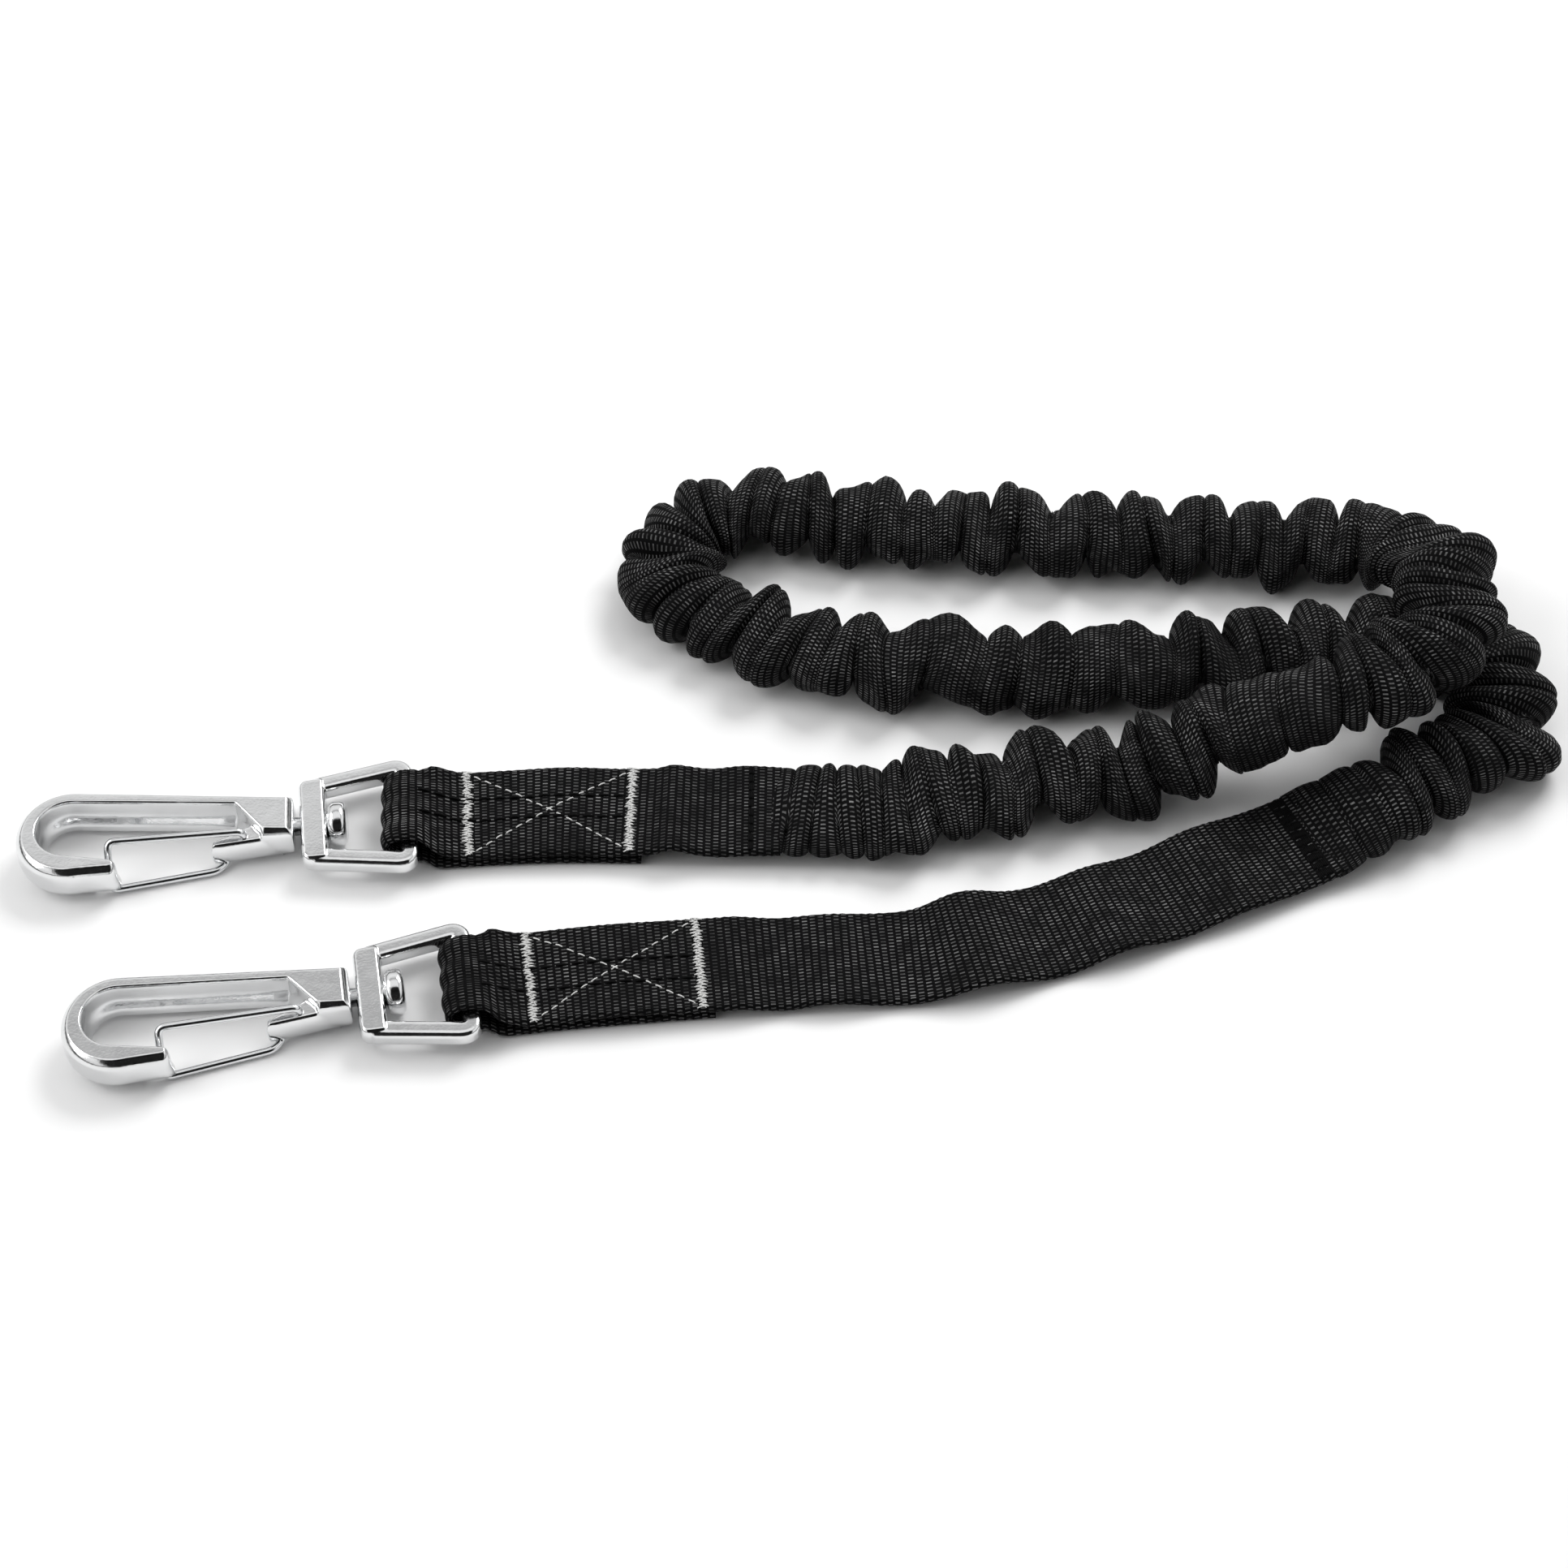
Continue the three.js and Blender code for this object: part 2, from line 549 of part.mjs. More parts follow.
function eyeBaseOutline() {
  const shape = new THREE.Shape();
  const [a, b] = [BASE_FROM + BASE_SWELL, BASE_TO - BASE_SWELL];
  const [w, r] = [BASE_HALF_WIDTH - BASE_SWELL, BASE_CORNER];
  shape.moveTo(a, -w + r);
  shape.quadraticCurveTo(a, -w, a + r, -w);
  shape.lineTo(b, -w);
  shape.lineTo(b, w);
  shape.lineTo(a + r, w);
  shape.quadraticCurveTo(a, w, a, w - r);
  shape.closePath();
  return shape;
}

// Swivel eye: a bored base with two spreading legs and the crossbar that the webbing goes round.
function swivelEye() {
  const start = (BASE_FROM + BASE_TO) / 2;
  const frame = rod(bentPath([
    [start, LEG_HALF_SPAN_BASE, PIN_HEIGHT],
    [BAR_DISTANCE, LEG_HALF_SPAN_BAR, PIN_HEIGHT],
    [BAR_DISTANCE, -LEG_HALF_SPAN_BAR, PIN_HEIGHT],
    [start, -LEG_HALF_SPAN_BASE, PIN_HEIGHT],
  ], EYE_CORNER), LEG_RADIUS, 10, 42);
  const [low, high] = [PIN_HEIGHT - BASE_HALF_THICKNESS, PIN_HEIGHT + BASE_HALF_THICKNESS];
  const base = plate(eyeBaseOutline(), low, high, BASE_CROWN, BASE_SWELL);
  return toSolid(base)
    .add(toSolid(frame))
    .subtract(toSolid(cylinderAlongX(BORE_RADIUS, BASE_FROM - 2, BASE_TO + 2, PIN_HEIGHT)));
}

// ---------------------------------------------------------------- materials
const chrome = { color: 0xd9dadb, roughness: 0.16, metalness: 1 };
const steel = { color: 0xc9cacb, roughness: 0.22, metalness: 1 };
const webbing = { color: 0x141415, roughness: 0.85, metalness: 0 };
const elastic = { color: 0xb9b4a6, roughness: 0.9, metalness: 0 };
const whiteThread = { color: 0xd4d4d2, roughness: 0.7, metalness: 0 };
const blackThread = { color: 0x0a0a0b, roughness: 0.6, metalness: 0 };

function piece(name, shape, look) {
  const geometry = shape.isBufferGeometry ? shape : fromSolid(shape);
  const mesh = new THREE.Mesh(geometry, new THREE.MeshStandardMaterial(look));
  mesh.name = name;
  return mesh;
}

// ---------------------------------------------------------------- assembly
const lanyard = new THREE.Group();
lanyard.position.set(CENTRE_SHIFT.x, CENTRE_SHIFT.y, 0);

// Pieces turned to lie along a hook's own direction.
function turned(hook, yaw, pieces) {
  const set = new THREE.Group();
  set.position.set(hook.x, hook.y, 0);
  set.rotation.z = THREE.MathUtils.degToRad(yaw);
  pieces.forEach((mesh) => set.add(mesh));
  return set;
}

HOOKS.forEach((hook, index) => {
  lanyard.add(turned(hook, hook.yaw, [
    piece(`hook_body_${hook.id}`, hookBody(), chrome),
    piece(`wire_gate_${hook.id}`, wireGate(), steel),
    piece(`swivel_rivet_${hook.id}`, rivet(), chrome),
  ]));
  lanyard.add(turned(hook, hook.eyeYaw, [piece(`swivel_eye_${hook.id}`, swivelEye(), chrome)]));

  const flatLength = (index === 0 ? SLEEVE_FROM : SLEEVE_TO) - GAP;
  lanyard.add(piece(`webbing_end_${hook.id}`, webbingEnd(index, flatLength), webbing));
  lanyard.add(piece(`bar_tack_${hook.id}_near`, barTack(index, NEAR_TACK), whiteThread));
  lanyard.add(piece(`bar_tack_${hook.id}_far`, barTack(index, FAR_TACK), whiteThread));
  lanyard.add(piece(`cross_stitch_${hook.id}`, crossStitch(index), whiteThread));
  ROW_OFFSETS.forEach((offset, row) => {
    const name = `seam_row_${hook.id}_${row === 0 ? 'a' : 'b'}`;
    lanyard.add(piece(name, seamRow(index, offset), blackThread));
  });
  lanyard.add(piece(`core_anchor_tack_${hook.id}`, anchorTack(index), blackThread));
});
lanyard.add(piece('webbing_sleeve', sleeve(), webbing));
lanyard.add(piece('elastic_core', elasticCore(), elastic));

export default lanyard;
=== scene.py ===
"""Visual model of a shock absorbing lanyard: gathered tubular webbing between two swivel snap hooks.

Metres, +Z up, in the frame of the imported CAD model. The sections on the gathered sleeve and on the
snap hooks count in millimetres where they say so, and their points are scaled when they are placed.
"""
import json
import math

import bmesh
import bpy
import numpy as np
from mathutils import Matrix, Vector


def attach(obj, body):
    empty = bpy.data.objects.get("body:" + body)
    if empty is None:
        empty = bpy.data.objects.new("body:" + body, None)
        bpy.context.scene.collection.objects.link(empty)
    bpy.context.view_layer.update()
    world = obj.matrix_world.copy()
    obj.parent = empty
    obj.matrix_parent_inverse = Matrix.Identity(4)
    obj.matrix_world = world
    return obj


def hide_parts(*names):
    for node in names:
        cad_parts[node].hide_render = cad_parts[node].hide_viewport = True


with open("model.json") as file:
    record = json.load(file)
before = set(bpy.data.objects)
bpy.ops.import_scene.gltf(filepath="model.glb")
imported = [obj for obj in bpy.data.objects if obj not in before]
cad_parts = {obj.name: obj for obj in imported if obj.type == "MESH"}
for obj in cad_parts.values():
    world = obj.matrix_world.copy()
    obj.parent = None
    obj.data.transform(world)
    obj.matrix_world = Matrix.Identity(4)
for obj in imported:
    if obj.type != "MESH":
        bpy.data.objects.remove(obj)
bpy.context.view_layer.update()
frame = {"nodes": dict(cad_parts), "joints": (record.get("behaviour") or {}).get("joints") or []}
JOINTS = {joint["name"]: joint for joint in frame["joints"]}
MM = 0.001

# ---------------------------------------------------------------- camera
CAMERA_TARGET = Vector((-0.00277, -0.00161, 0.0))
CAMERA_DISTANCE = 0.830
CAMERA_ELEVATION = math.radians(50)
CAMERA_FIELD = math.radians(25.7)


def make_camera():
    data = bpy.data.cameras.new("camera")
    data.angle = CAMERA_FIELD
    data.clip_start = 0.01
    data.clip_end = 20
    camera = bpy.data.objects.new("camera", data)
    bpy.context.scene.collection.objects.link(camera)
    back = Vector((0, -math.cos(CAMERA_ELEVATION), math.sin(CAMERA_ELEVATION)))
    camera.location = CAMERA_TARGET + CAMERA_DISTANCE * back
    camera.rotation_euler = back.to_track_quat("Z", "Y").to_euler()
    bpy.context.scene.camera = camera


make_camera()

# ---------------------------------------------------------------- the strap's route
# The strap's centreline from crossbar 1 to crossbar 2, without the crossbars themselves.
LAYOUT_SHIFT = np.array((0.00193, 0.00549, 0.0))
ROUTE = np.array([
    (-0.0600, -0.0192, 0.0013), (-0.0175, -0.0196, 0.0040), (0.0210, -0.0190, 0.0065),
    (0.0600, -0.0116, 0.0080), (0.0795, -0.0094, 0.0086), (0.1130, -0.0012, 0.0200),
    (0.1280, 0.0012, 0.0240), (0.1420, 0.0066, 0.0250), (0.1530, 0.0180, 0.0250),
    (0.1575, 0.0330, 0.0240), (0.1560, 0.0490, 0.0190), (0.1485, 0.0605, 0.0125),
    (0.1360, 0.0648, 0.0085), (0.1150, 0.0668, 0.0080), (0.0730, 0.0690, 0.0080),
    (0.0310, 0.0716, 0.0080), (-0.0090, 0.0758, 0.0080), (-0.0240, 0.0744, 0.0080),
    (-0.0330, 0.0660, 0.0080), (-0.0335, 0.0540, 0.0080), (-0.0250, 0.0430, 0.0080),
    (-0.0100, 0.0335, 0.0080), (0.0080, 0.0274, 0.0080), (0.0510, 0.0234, 0.0080),
    (0.0740, 0.0234, 0.0080), (0.0970, 0.0260, 0.0080), (0.1420, 0.0322, 0.0080),
    (0.1580, 0.0314, 0.0080), (0.1685, 0.0245, 0.0080), (0.1705, 0.0105, 0.0080),
    (0.1635, -0.0032, 0.0080), (0.1340, -0.0194, 0.0075), (0.1160, -0.0286, 0.0035),
    (0.0760, -0.0464, 0.0013), (0.0380, -0.0588, 0.0013), (0.0170, -0.0616, 0.0013),
    (-0.0050, -0.0630, 0.0013), (-0.0500, -0.0672, 0.0013),
]) + LAYOUT_SHIFT
BAR_HEIGHT = 0.0055  # crossbar's axis above the floor
BAR_LEVEL = 0.0012  # height at which the route starts and ends, under the crossbars
SAMPLES_PER_SPAN = 60


def bar_centre(hook):
    return np.array(JOINTS[f"eye_{hook}_swing"]["pos_m"][:2] + [BAR_LEVEL])


def dense_route():
    points = np.vstack([bar_centre(1), ROUTE, bar_centre(2)])
    padded = np.vstack([2 * points[0] - points[1], points, 2 * points[-1] - points[-2]])
    t = np.linspace(0, 1, SAMPLES_PER_SPAN, endpoint=False)[:, None]
    spans = []
    for p0, p1, p2, p3 in zip(padded, padded[1:], padded[2:], padded[3:]):
        cubic = 3 * p1 - p0 - 3 * p2 + p3
        square = 2 * p0 - 5 * p1 + 4 * p2 - p3
        spans.append(0.5 * (2 * p1 + (p2 - p0) * t + square * t**2 + cubic * t**3))
    return np.vstack(spans + [points[-1:]])


LINE = dense_route()
LINE_DISTANCE = np.r_[0, np.cumsum(np.linalg.norm(np.diff(LINE, axis=0), axis=1))]
STRAP_LENGTH = LINE_DISTANCE[-1]


def unit(v):
    return v / np.linalg.norm(v, axis=-1, keepdims=True)


def strap_frame(distance):
    """Points, level sideways directions and upward directions at distances from crossbar 1."""
    distance = np.atleast_1d(np.asarray(distance, float))
    inside = np.clip(distance, 0, STRAP_LENGTH)

    def at(d):
        return np.stack([np.interp(d, LINE_DISTANCE, LINE[:, k]) for k in range(3)], axis=-1)

    step = 0.8 * MM
    along = unit(at(np.clip(inside + step, 0, STRAP_LENGTH)) - at(np.clip(inside - step, 0, STRAP_LENGTH)))
    centre = at(inside) + along * (distance - inside)[:, None]
    side = unit(np.stack([-along[:, 1], along[:, 0], np.zeros(len(along))], axis=-1))
    return centre, side, np.cross(along, side)


def smooth(x, low, high):
    t = np.clip((np.asarray(x, float) - low) / (high - low), 0, 1)
    return t * t * (3 - 2 * t)


# ---------------------------------------------------------------- meshes
def new_object(name, vertices, faces, material, uv=None, shade_smooth=True):
    """uv is one (u, v) pair for each face corner, in face order."""
    mesh = bpy.data.meshes.new(name)
    mesh.from_pydata([tuple(v) for v in vertices], [], [tuple(f) for f in faces])
    if uv is not None:
        layer = mesh.uv_layers.new(name="weave")
        layer.data.foreach_set("uv", np.asarray(uv, np.float32).ravel())
    mesh.polygons.foreach_set("use_smooth", np.full(len(mesh.polygons), shade_smooth))
    mesh.materials.append(material)
    mesh.update()
    thing = bpy.data.objects.new(name, mesh)
    bpy.context.scene.collection.objects.link(thing)
    return thing


def tube_faces(rows, columns, base=0):
    """Quads between closed rings of vertices, with one cap at each end."""
    i, j = np.meshgrid(np.arange(rows - 1), np.arange(columns), indexing="ij")
    a = base + i * columns + j
    b = base + i * columns + (j + 1) % columns
    quads = np.stack([a, b, b + columns, a + columns], axis=-1).reshape(-1, 4)
    caps = [
        [base + k for k in range(columns)][::-1],
        [base + (rows - 1) * columns + k for k in range(columns)],
    ]
    return [list(q) for q in quads] + caps


def tube_uv(rows, columns, along, around_length):
    """along is a distance for each row; around_length the distance once round."""
    corners = []
    i, j = np.meshgrid(np.arange(rows - 1), np.arange(columns), indexing="ij")
    around = around_length / columns
    for di, dj in ((0, 0), (0, 1), (1, 1), (1, 0)):
        corners.append(np.stack([along[i + di], (j + dj) * around], axis=-1))
    quads = np.stack(corners, axis=2).reshape(-1, 2)
    caps = np.zeros((2 * columns, 2))
    return np.vstack([quads, caps])


# ---------------------------------------------------------------- materials
def colour_ramp(tree, source, stops):
    """A ramp's colour output; each stop is a position and a grey (v,) or a colour (r, g, b)."""
    node = tree.nodes.new("ShaderNodeValToRGB")
    elements = node.color_ramp.elements
    while len(elements) < len(stops):
        elements.new(0.5)
    for element, (position, colour) in zip(elements, stops):
        element.position = position
        element.color = (*colour, 1) if len(colour) == 3 else (colour[0],) * 3 + (1,)
    tree.links.new(source, node.inputs["Fac"])
    return node.outputs["Color"]


class Nodes:
    """Short names for building a material's node tree."""

    def __init__(self, name):
        self.material = bpy.data.materials.new(name)
        self.material.use_nodes = True
        self.tree = self.material.node_tree
        self.shader = self.tree.nodes["Principled BSDF"]

    def add(self, kind, **settings):
        node = self.tree.nodes.new(kind)
        for key, value in settings.items():
            if key in node.inputs:
                node.inputs[key].default_value = value
            else:
                setattr(node, key, value)
        return node

    def link(self, output, target):
        self.tree.links.new(output, target)

    def set(self, **values):
        for key, value in values.items():
            self.shader.inputs[key.replace("_", " ")].default_value = value

    def noise(self, scale, detail=3.0, roughness=0.5, vector=None):
        node = self.add("ShaderNodeTexNoise")
        node.inputs["Scale"].default_value = scale
        node.inputs["Detail"].default_value = detail
        node.inputs["Roughness"].default_value = roughness
        if vector is not None:
            self.link(vector, node.inputs["Vector"])
        return node

    def ramp(self, source, stops):
        return colour_ramp(self.tree, source, stops)

    def math(self, operation, a, b):
        node = self.add("ShaderNodeMath", operation=operation)
        for socket, value in zip(node.inputs, (a, b)):
            if hasattr(value, "is_output"):
                self.link(value, socket)
            else:
                socket.default_value = value
        return node.outputs[0]

    def bump(self, height, strength, distance, after=None):
        node = self.add("ShaderNodeBump")
        node.inputs["Strength"].default_value = strength
        node.inputs["Distance"].default_value = distance
        self.link(height, node.inputs["Height"])
        if after is not None:
            self.link(after, node.inputs["Normal"])
        return node.outputs["Normal"]

    def position(self):
        return self.add("ShaderNodeTexCoord").outputs["Object"]


WEAVE_ALONG = 1.8 * MM  # one fleck to the next along the strap
FLAT_FLECKS = 56  # flecks round the flat webbing, both faces
WEAVE_ACROSS = 54 / FLAT_FLECKS * MM  # one fleck to the next round it, on 54 mm


def webbing_material():
    n = Nodes("black_webbing")
    uv = n.add("ShaderNodeUVMap", uv_map="weave").outputs["UV"]
    scale = n.add("ShaderNodeVectorMath", operation="MULTIPLY")
    n.link(uv, scale.inputs[0])
    scale.inputs[1].default_value = (1 / WEAVE_ALONG, 1 / WEAVE_ACROSS, 0)
    cell_width, cell_length, ground_width = 0.40, 0.72, 0.155  # the brick node's own units
    split = n.add("ShaderNodeSeparateXYZ")
    n.link(scale.outputs[0], split.inputs[0])
    turned = n.add("ShaderNodeCombineXYZ")
    n.link(n.math("MULTIPLY", split.outputs["Y"], cell_width), turned.inputs["X"])
    n.link(n.math("MULTIPLY", split.outputs["X"], cell_length), turned.inputs["Y"])

    # The bricks are the weave's flecks and the mortar is the black yarn between them. The flecks' grey is
    # painted sheen: light caught on the shiny yarn crowns, in two greys that differ at random.
    brick = n.add("ShaderNodeTexBrick", offset=0.5, offset_frequency=2, squash=1.0)
    brick.inputs["Color1"].default_value = (1, 1, 1, 1)
    brick.inputs["Color2"].default_value = (0.35, 0.35, 0.35, 1)
    brick.inputs["Mortar"].default_value = (0, 0, 0, 1)
    brick.inputs["Scale"].default_value = 1.0
    brick.inputs["Mortar Size"].default_value = ground_width
    brick.inputs["Mortar Smooth"].default_value = 0.3
    brick.inputs["Brick Width"].default_value = cell_width
    brick.inputs["Row Height"].default_value = cell_length
    n.link(turned.outputs[0], brick.inputs["Vector"])

    place = n.position()
    # Both noises make the flecks' painted sheen uneven; the broad one brightens them in patches, painted
    # sheen where the crowns would catch the light.
    uneven = n.noise(260, 3, 0.6, place).outputs["Fac"]
    wear_and_sheen = n.noise(45, 2, 0.5, place).outputs["Fac"]
    strength = n.math("MULTIPLY", uneven, n.math("ADD", wear_and_sheen, 0.45))
    fleck = n.add("ShaderNodeMix", data_type="RGBA", blend_type="MULTIPLY")
    fleck.inputs["Factor"].default_value = 1.0
    n.link(brick.outputs["Color"], fleck.inputs["A"])
    n.link(n.ramp(strength, [(0.34, (0.16,)), (0.74, (1.0,))]), fleck.inputs["B"])
    # From the black yarn's own colour up to the grey of the painted sheen on the flecks.
    colour = n.ramp(fleck.outputs["Result"], [(0.0, (0.0020, 0.0020, 0.0022)), (1.0, (0.24, 0.24, 0.24))])
    n.link(colour, n.shader.inputs["Base Color"])
    rough = n.ramp(brick.outputs["Fac"], [(0.0, (0.34,)), (1.0, (0.85,))])
    n.link(rough, n.shader.inputs["Roughness"])

    ribs = n.math("SINE", n.math("MULTIPLY", split.outputs["X"], 2 * math.pi), 0.0)
    cords = n.math("SINE", n.math("MULTIPLY", split.outputs["Y"], 2 * math.pi), 0.0)
    ground = n.math("ADD", n.math("MULTIPLY", ribs, 0.15), n.math("MULTIPLY", cords, 0.35))
    raised = n.math("SUBTRACT", 1.0, brick.outputs["Fac"])
    height = n.math("ADD", ground, n.math("MULTIPLY", raised, 1.3))
    normal = n.bump(height, 0.55, 0.16 * MM)
    n.link(normal, n.shader.inputs["Normal"])
    n.set(Specular_IOR_Level=0.08)
    return n.material


def chrome_material(name, base, roughness, pebble):
    """Bright plated metal, slightly pebbled by the casting under it, its tone a little greyer in random
    patches.
    """
    n = Nodes(name)
    place = n.position()
    pebbles = n.noise(1700, 2, 0.5, place).outputs["Fac"]
    waves = n.noise(160, 2, 0.5, place).outputs["Fac"]
    height = n.math("ADD", n.math("MULTIPLY", pebbles, 0.35), waves)
    n.link(n.bump(height, pebble, 0.12 * MM), n.shader.inputs["Normal"])
    tint = n.ramp(n.noise(70, 3, 0.6, place).outputs["Fac"],
                  [(0.3, tuple(0.9 * c for c in base)), (0.7, base)])
    n.link(tint, n.shader.inputs["Base Color"])
    wear_and_sheen = n.ramp(n.noise(420, 3, 0.6, place).outputs["Fac"],
                  [(0.35, (roughness,)), (0.8, (roughness * 2.2,))])
    n.link(wear_and_sheen, n.shader.inputs["Roughness"])
    n.set(Metallic=1.0)
    return n.material


def thread_material(name, dark, light, roughness, shine):
    """Twisted sewing thread with uneven fibres."""
    n = Nodes(name)
    place = n.position()
    fibres = n.noise(4200, 3, 0.7, place).outputs["Fac"]
    tone = n.ramp(fibres, [(0.3, dark), (0.7, light)])
    n.link(tone, n.shader.inputs["Base Color"])
    n.link(n.bump(fibres, 0.6, 0.08 * MM), n.shader.inputs["Normal"])
    n.set(Roughness=roughness, Specular_IOR_Level=shine)
    return n.material


def elastic_material():
    """Ribbed off-white rubber and cotton strip."""
    n = Nodes("elastic_core")
    place = n.position()
    ribs = n.add("ShaderNodeTexWave", bands_direction="X")
    ribs.inputs["Scale"].default_value = 420
    ribs.inputs["Distortion"].default_value = 1.5
    n.link(place, ribs.inputs["Vector"])
    n.link(n.ramp(ribs.outputs["Fac"], [(0, (0.36, 0.34, 0.29)), (1, (0.62, 0.59, 0.52))]),
           n.shader.inputs["Base Color"])
    n.link(n.bump(ribs.outputs["Fac"], 0.5, 0.2 * MM), n.shader.inputs["Normal"])
    n.set(Roughness=0.85)
    return n.material


def floor_material():
    n = Nodes("studio_floor")
    tone = n.ramp(n.noise(3, 2, 0.5, n.position()).outputs["Fac"], [(0, (0.93,)), (1, (0.95,))])
    n.link(tone, n.shader.inputs["Base Color"])
    n.set(Roughness=0.9, Specular_IOR_Level=0.1)
    return n.material


WEBBING = webbing_material()
CHROME = chrome_material("cast_chrome", (0.80, 0.805, 0.81), 0.09, 0.42)
WIRE = chrome_material("spring_wire", (0.76, 0.77, 0.78), 0.12, 0.05)
WHITE_THREAD = thread_material("white_thread", (0.45, 0.45, 0.45), (0.82, 0.82, 0.80), 0.55, 0.5)
BLACK_THREAD = thread_material("black_thread", (0.0006, 0.0006, 0.0006), (0.002, 0.002, 0.0022), 0.6, 0.06)
ELASTIC = elastic_material()

# ---------------------------------------------------------------- flat webbing at both ends
WEB_HALF = 13.3 * MM
WEB_THICK = 2.2 * MM
FOLD_HALF = 10.3 * MM
FOLD_SPREAD = 0.4 * MM  # it spreads this much either side of the crossbar, and still clears the legs
FOLD_RADIUS = 4.1 * MM
FOLD_REACH = 5.0 * MM
FOLD_BLEND = 15 * MM
TAIL_LENGTH = 58 * MM
TAIL_TRIM = 1.6 * MM  # the visible tail's end, inside the far tack's shadow
TAIL_INSET = 0.2 * MM  # the tail's edges lie this far inside the upper layer's
TAIL_STEP = 15 * MM  # distance over which the strap comes down past the tail's end
EDGE_RIPPLE = 0.12 * MM  # the weft's turns along the strap's edges
TAIL_LEVEL = WEB_THICK / 2 + 0.1 * MM
DOUBLE_LEVEL = TAIL_LEVEL + WEB_THICK + 0.3 * MM
MOUTHS = {1: 86 * MM, 2: 204 * MM}  # crossbar to the sleeve's mouth
# Soft waves of each flat strap: distance from the crossbar, half length, height, and roll to one side.
WAVES = {
    1: [(38, 16, 0.5, 0.2), (62, 14, 0.9, -0.3), (80, 12, 0.8, 0.5)],
    2: [(34, 22, 0.7, 0.2), (84, 18, 1.8, 0.6), (117, 18, 4.6, -0.7), (150, 17, 3.2, 0.7),
        (178, 20, 2.6, -0.4)],
}


def from_bar(hook, distance):
    return distance if hook == 1 else STRAP_LENGTH - distance


def upper_centre(hook, d):
    """Centre of the upper layer at distances d from a crossbar, with its frame directions."""
    d = np.atleast_1d(np.asarray(d, float))
    centre, side, up = strap_frame(from_bar(hook, d))
    folded = BAR_HEIGHT + FOLD_RADIUS + (DOUBLE_LEVEL - BAR_HEIGHT - FOLD_RADIUS) * smooth(d, 0, FOLD_BLEND)
    past = TAIL_LENGTH + 2 * MM
    drop = (DOUBLE_LEVEL - TAIL_LEVEL) * (1 - smooth(d, past, past + TAIL_STEP))
    on_double = smooth(d, TAIL_LENGTH, TAIL_LENGTH + 6 * MM)
    centre[:, 2] = folded * (1 - on_double) + (centre[:, 2] + drop) * on_double
    lift = np.zeros(len(d))
    roll = np.zeros(len(d))
    for at, half, height, lean in WAVES[hook]:
        bell = np.exp(-((d / MM - at) / (0.6 * half)) ** 2)
        lift += bell * height * MM
        roll += bell * lean * MM
    return centre + up * lift[:, None], side, up, roll


def upper_half_width(d):
    d = np.asarray(d, float)
    spread = FOLD_SPREAD * smooth(d, -2 * MM, 1 * MM)
    return FOLD_HALF + spread + (WEB_HALF - FOLD_HALF - FOLD_SPREAD) * smooth(d, 2.8 * MM, 7.5 * MM)


def corrugation(x, d):
    """Lengthwise ridges where the webbing is squeezed between the eye's legs."""
    fade = 1 - smooth(d, 6 * MM, 34 * MM)
    return fade * (0.30 * MM * np.cos(x / MM * 2 * math.pi / 6.4 + 0.9) - 0.10 * MM)


def on_strap(hook, d, x, lift):
    """Points lift above the upper face, x to the side of the middle, d from the crossbar."""
    d, x = np.broadcast_arrays(np.asarray(d, float), np.asarray(x, float))
    centre, side, up, roll = upper_centre(hook, d.ravel())
    x = x.ravel()
    height = WEB_THICK / 2 + lift + corrugation(x, d.ravel()) + roll * x / WEB_HALF
    return centre + side * x[:, None] + up * np.asarray(height)[:, None]


def stadium(half, thick, flat_steps=22, round_steps=4):
    """Cross-section of pressed tubular webbing: (sideways, upward) pairs, anticlockwise."""
    r = thick / 2
    top = [(x, r) for x in np.linspace(half - r, -(half - r), flat_steps)]
    left = [(-(half - r) - r * math.sin(a), r * math.cos(a))
            for a in np.linspace(0, math.pi, round_steps + 2)[1:-1]]
    bottom = [(x, -r) for x in np.linspace(-(half - r), half - r, flat_steps)]
    right = [(half - r + r * math.sin(a), -r * math.cos(a))
             for a in np.linspace(0, math.pi, round_steps + 2)[1:-1]]
    return np.array(top + left + bottom + right)


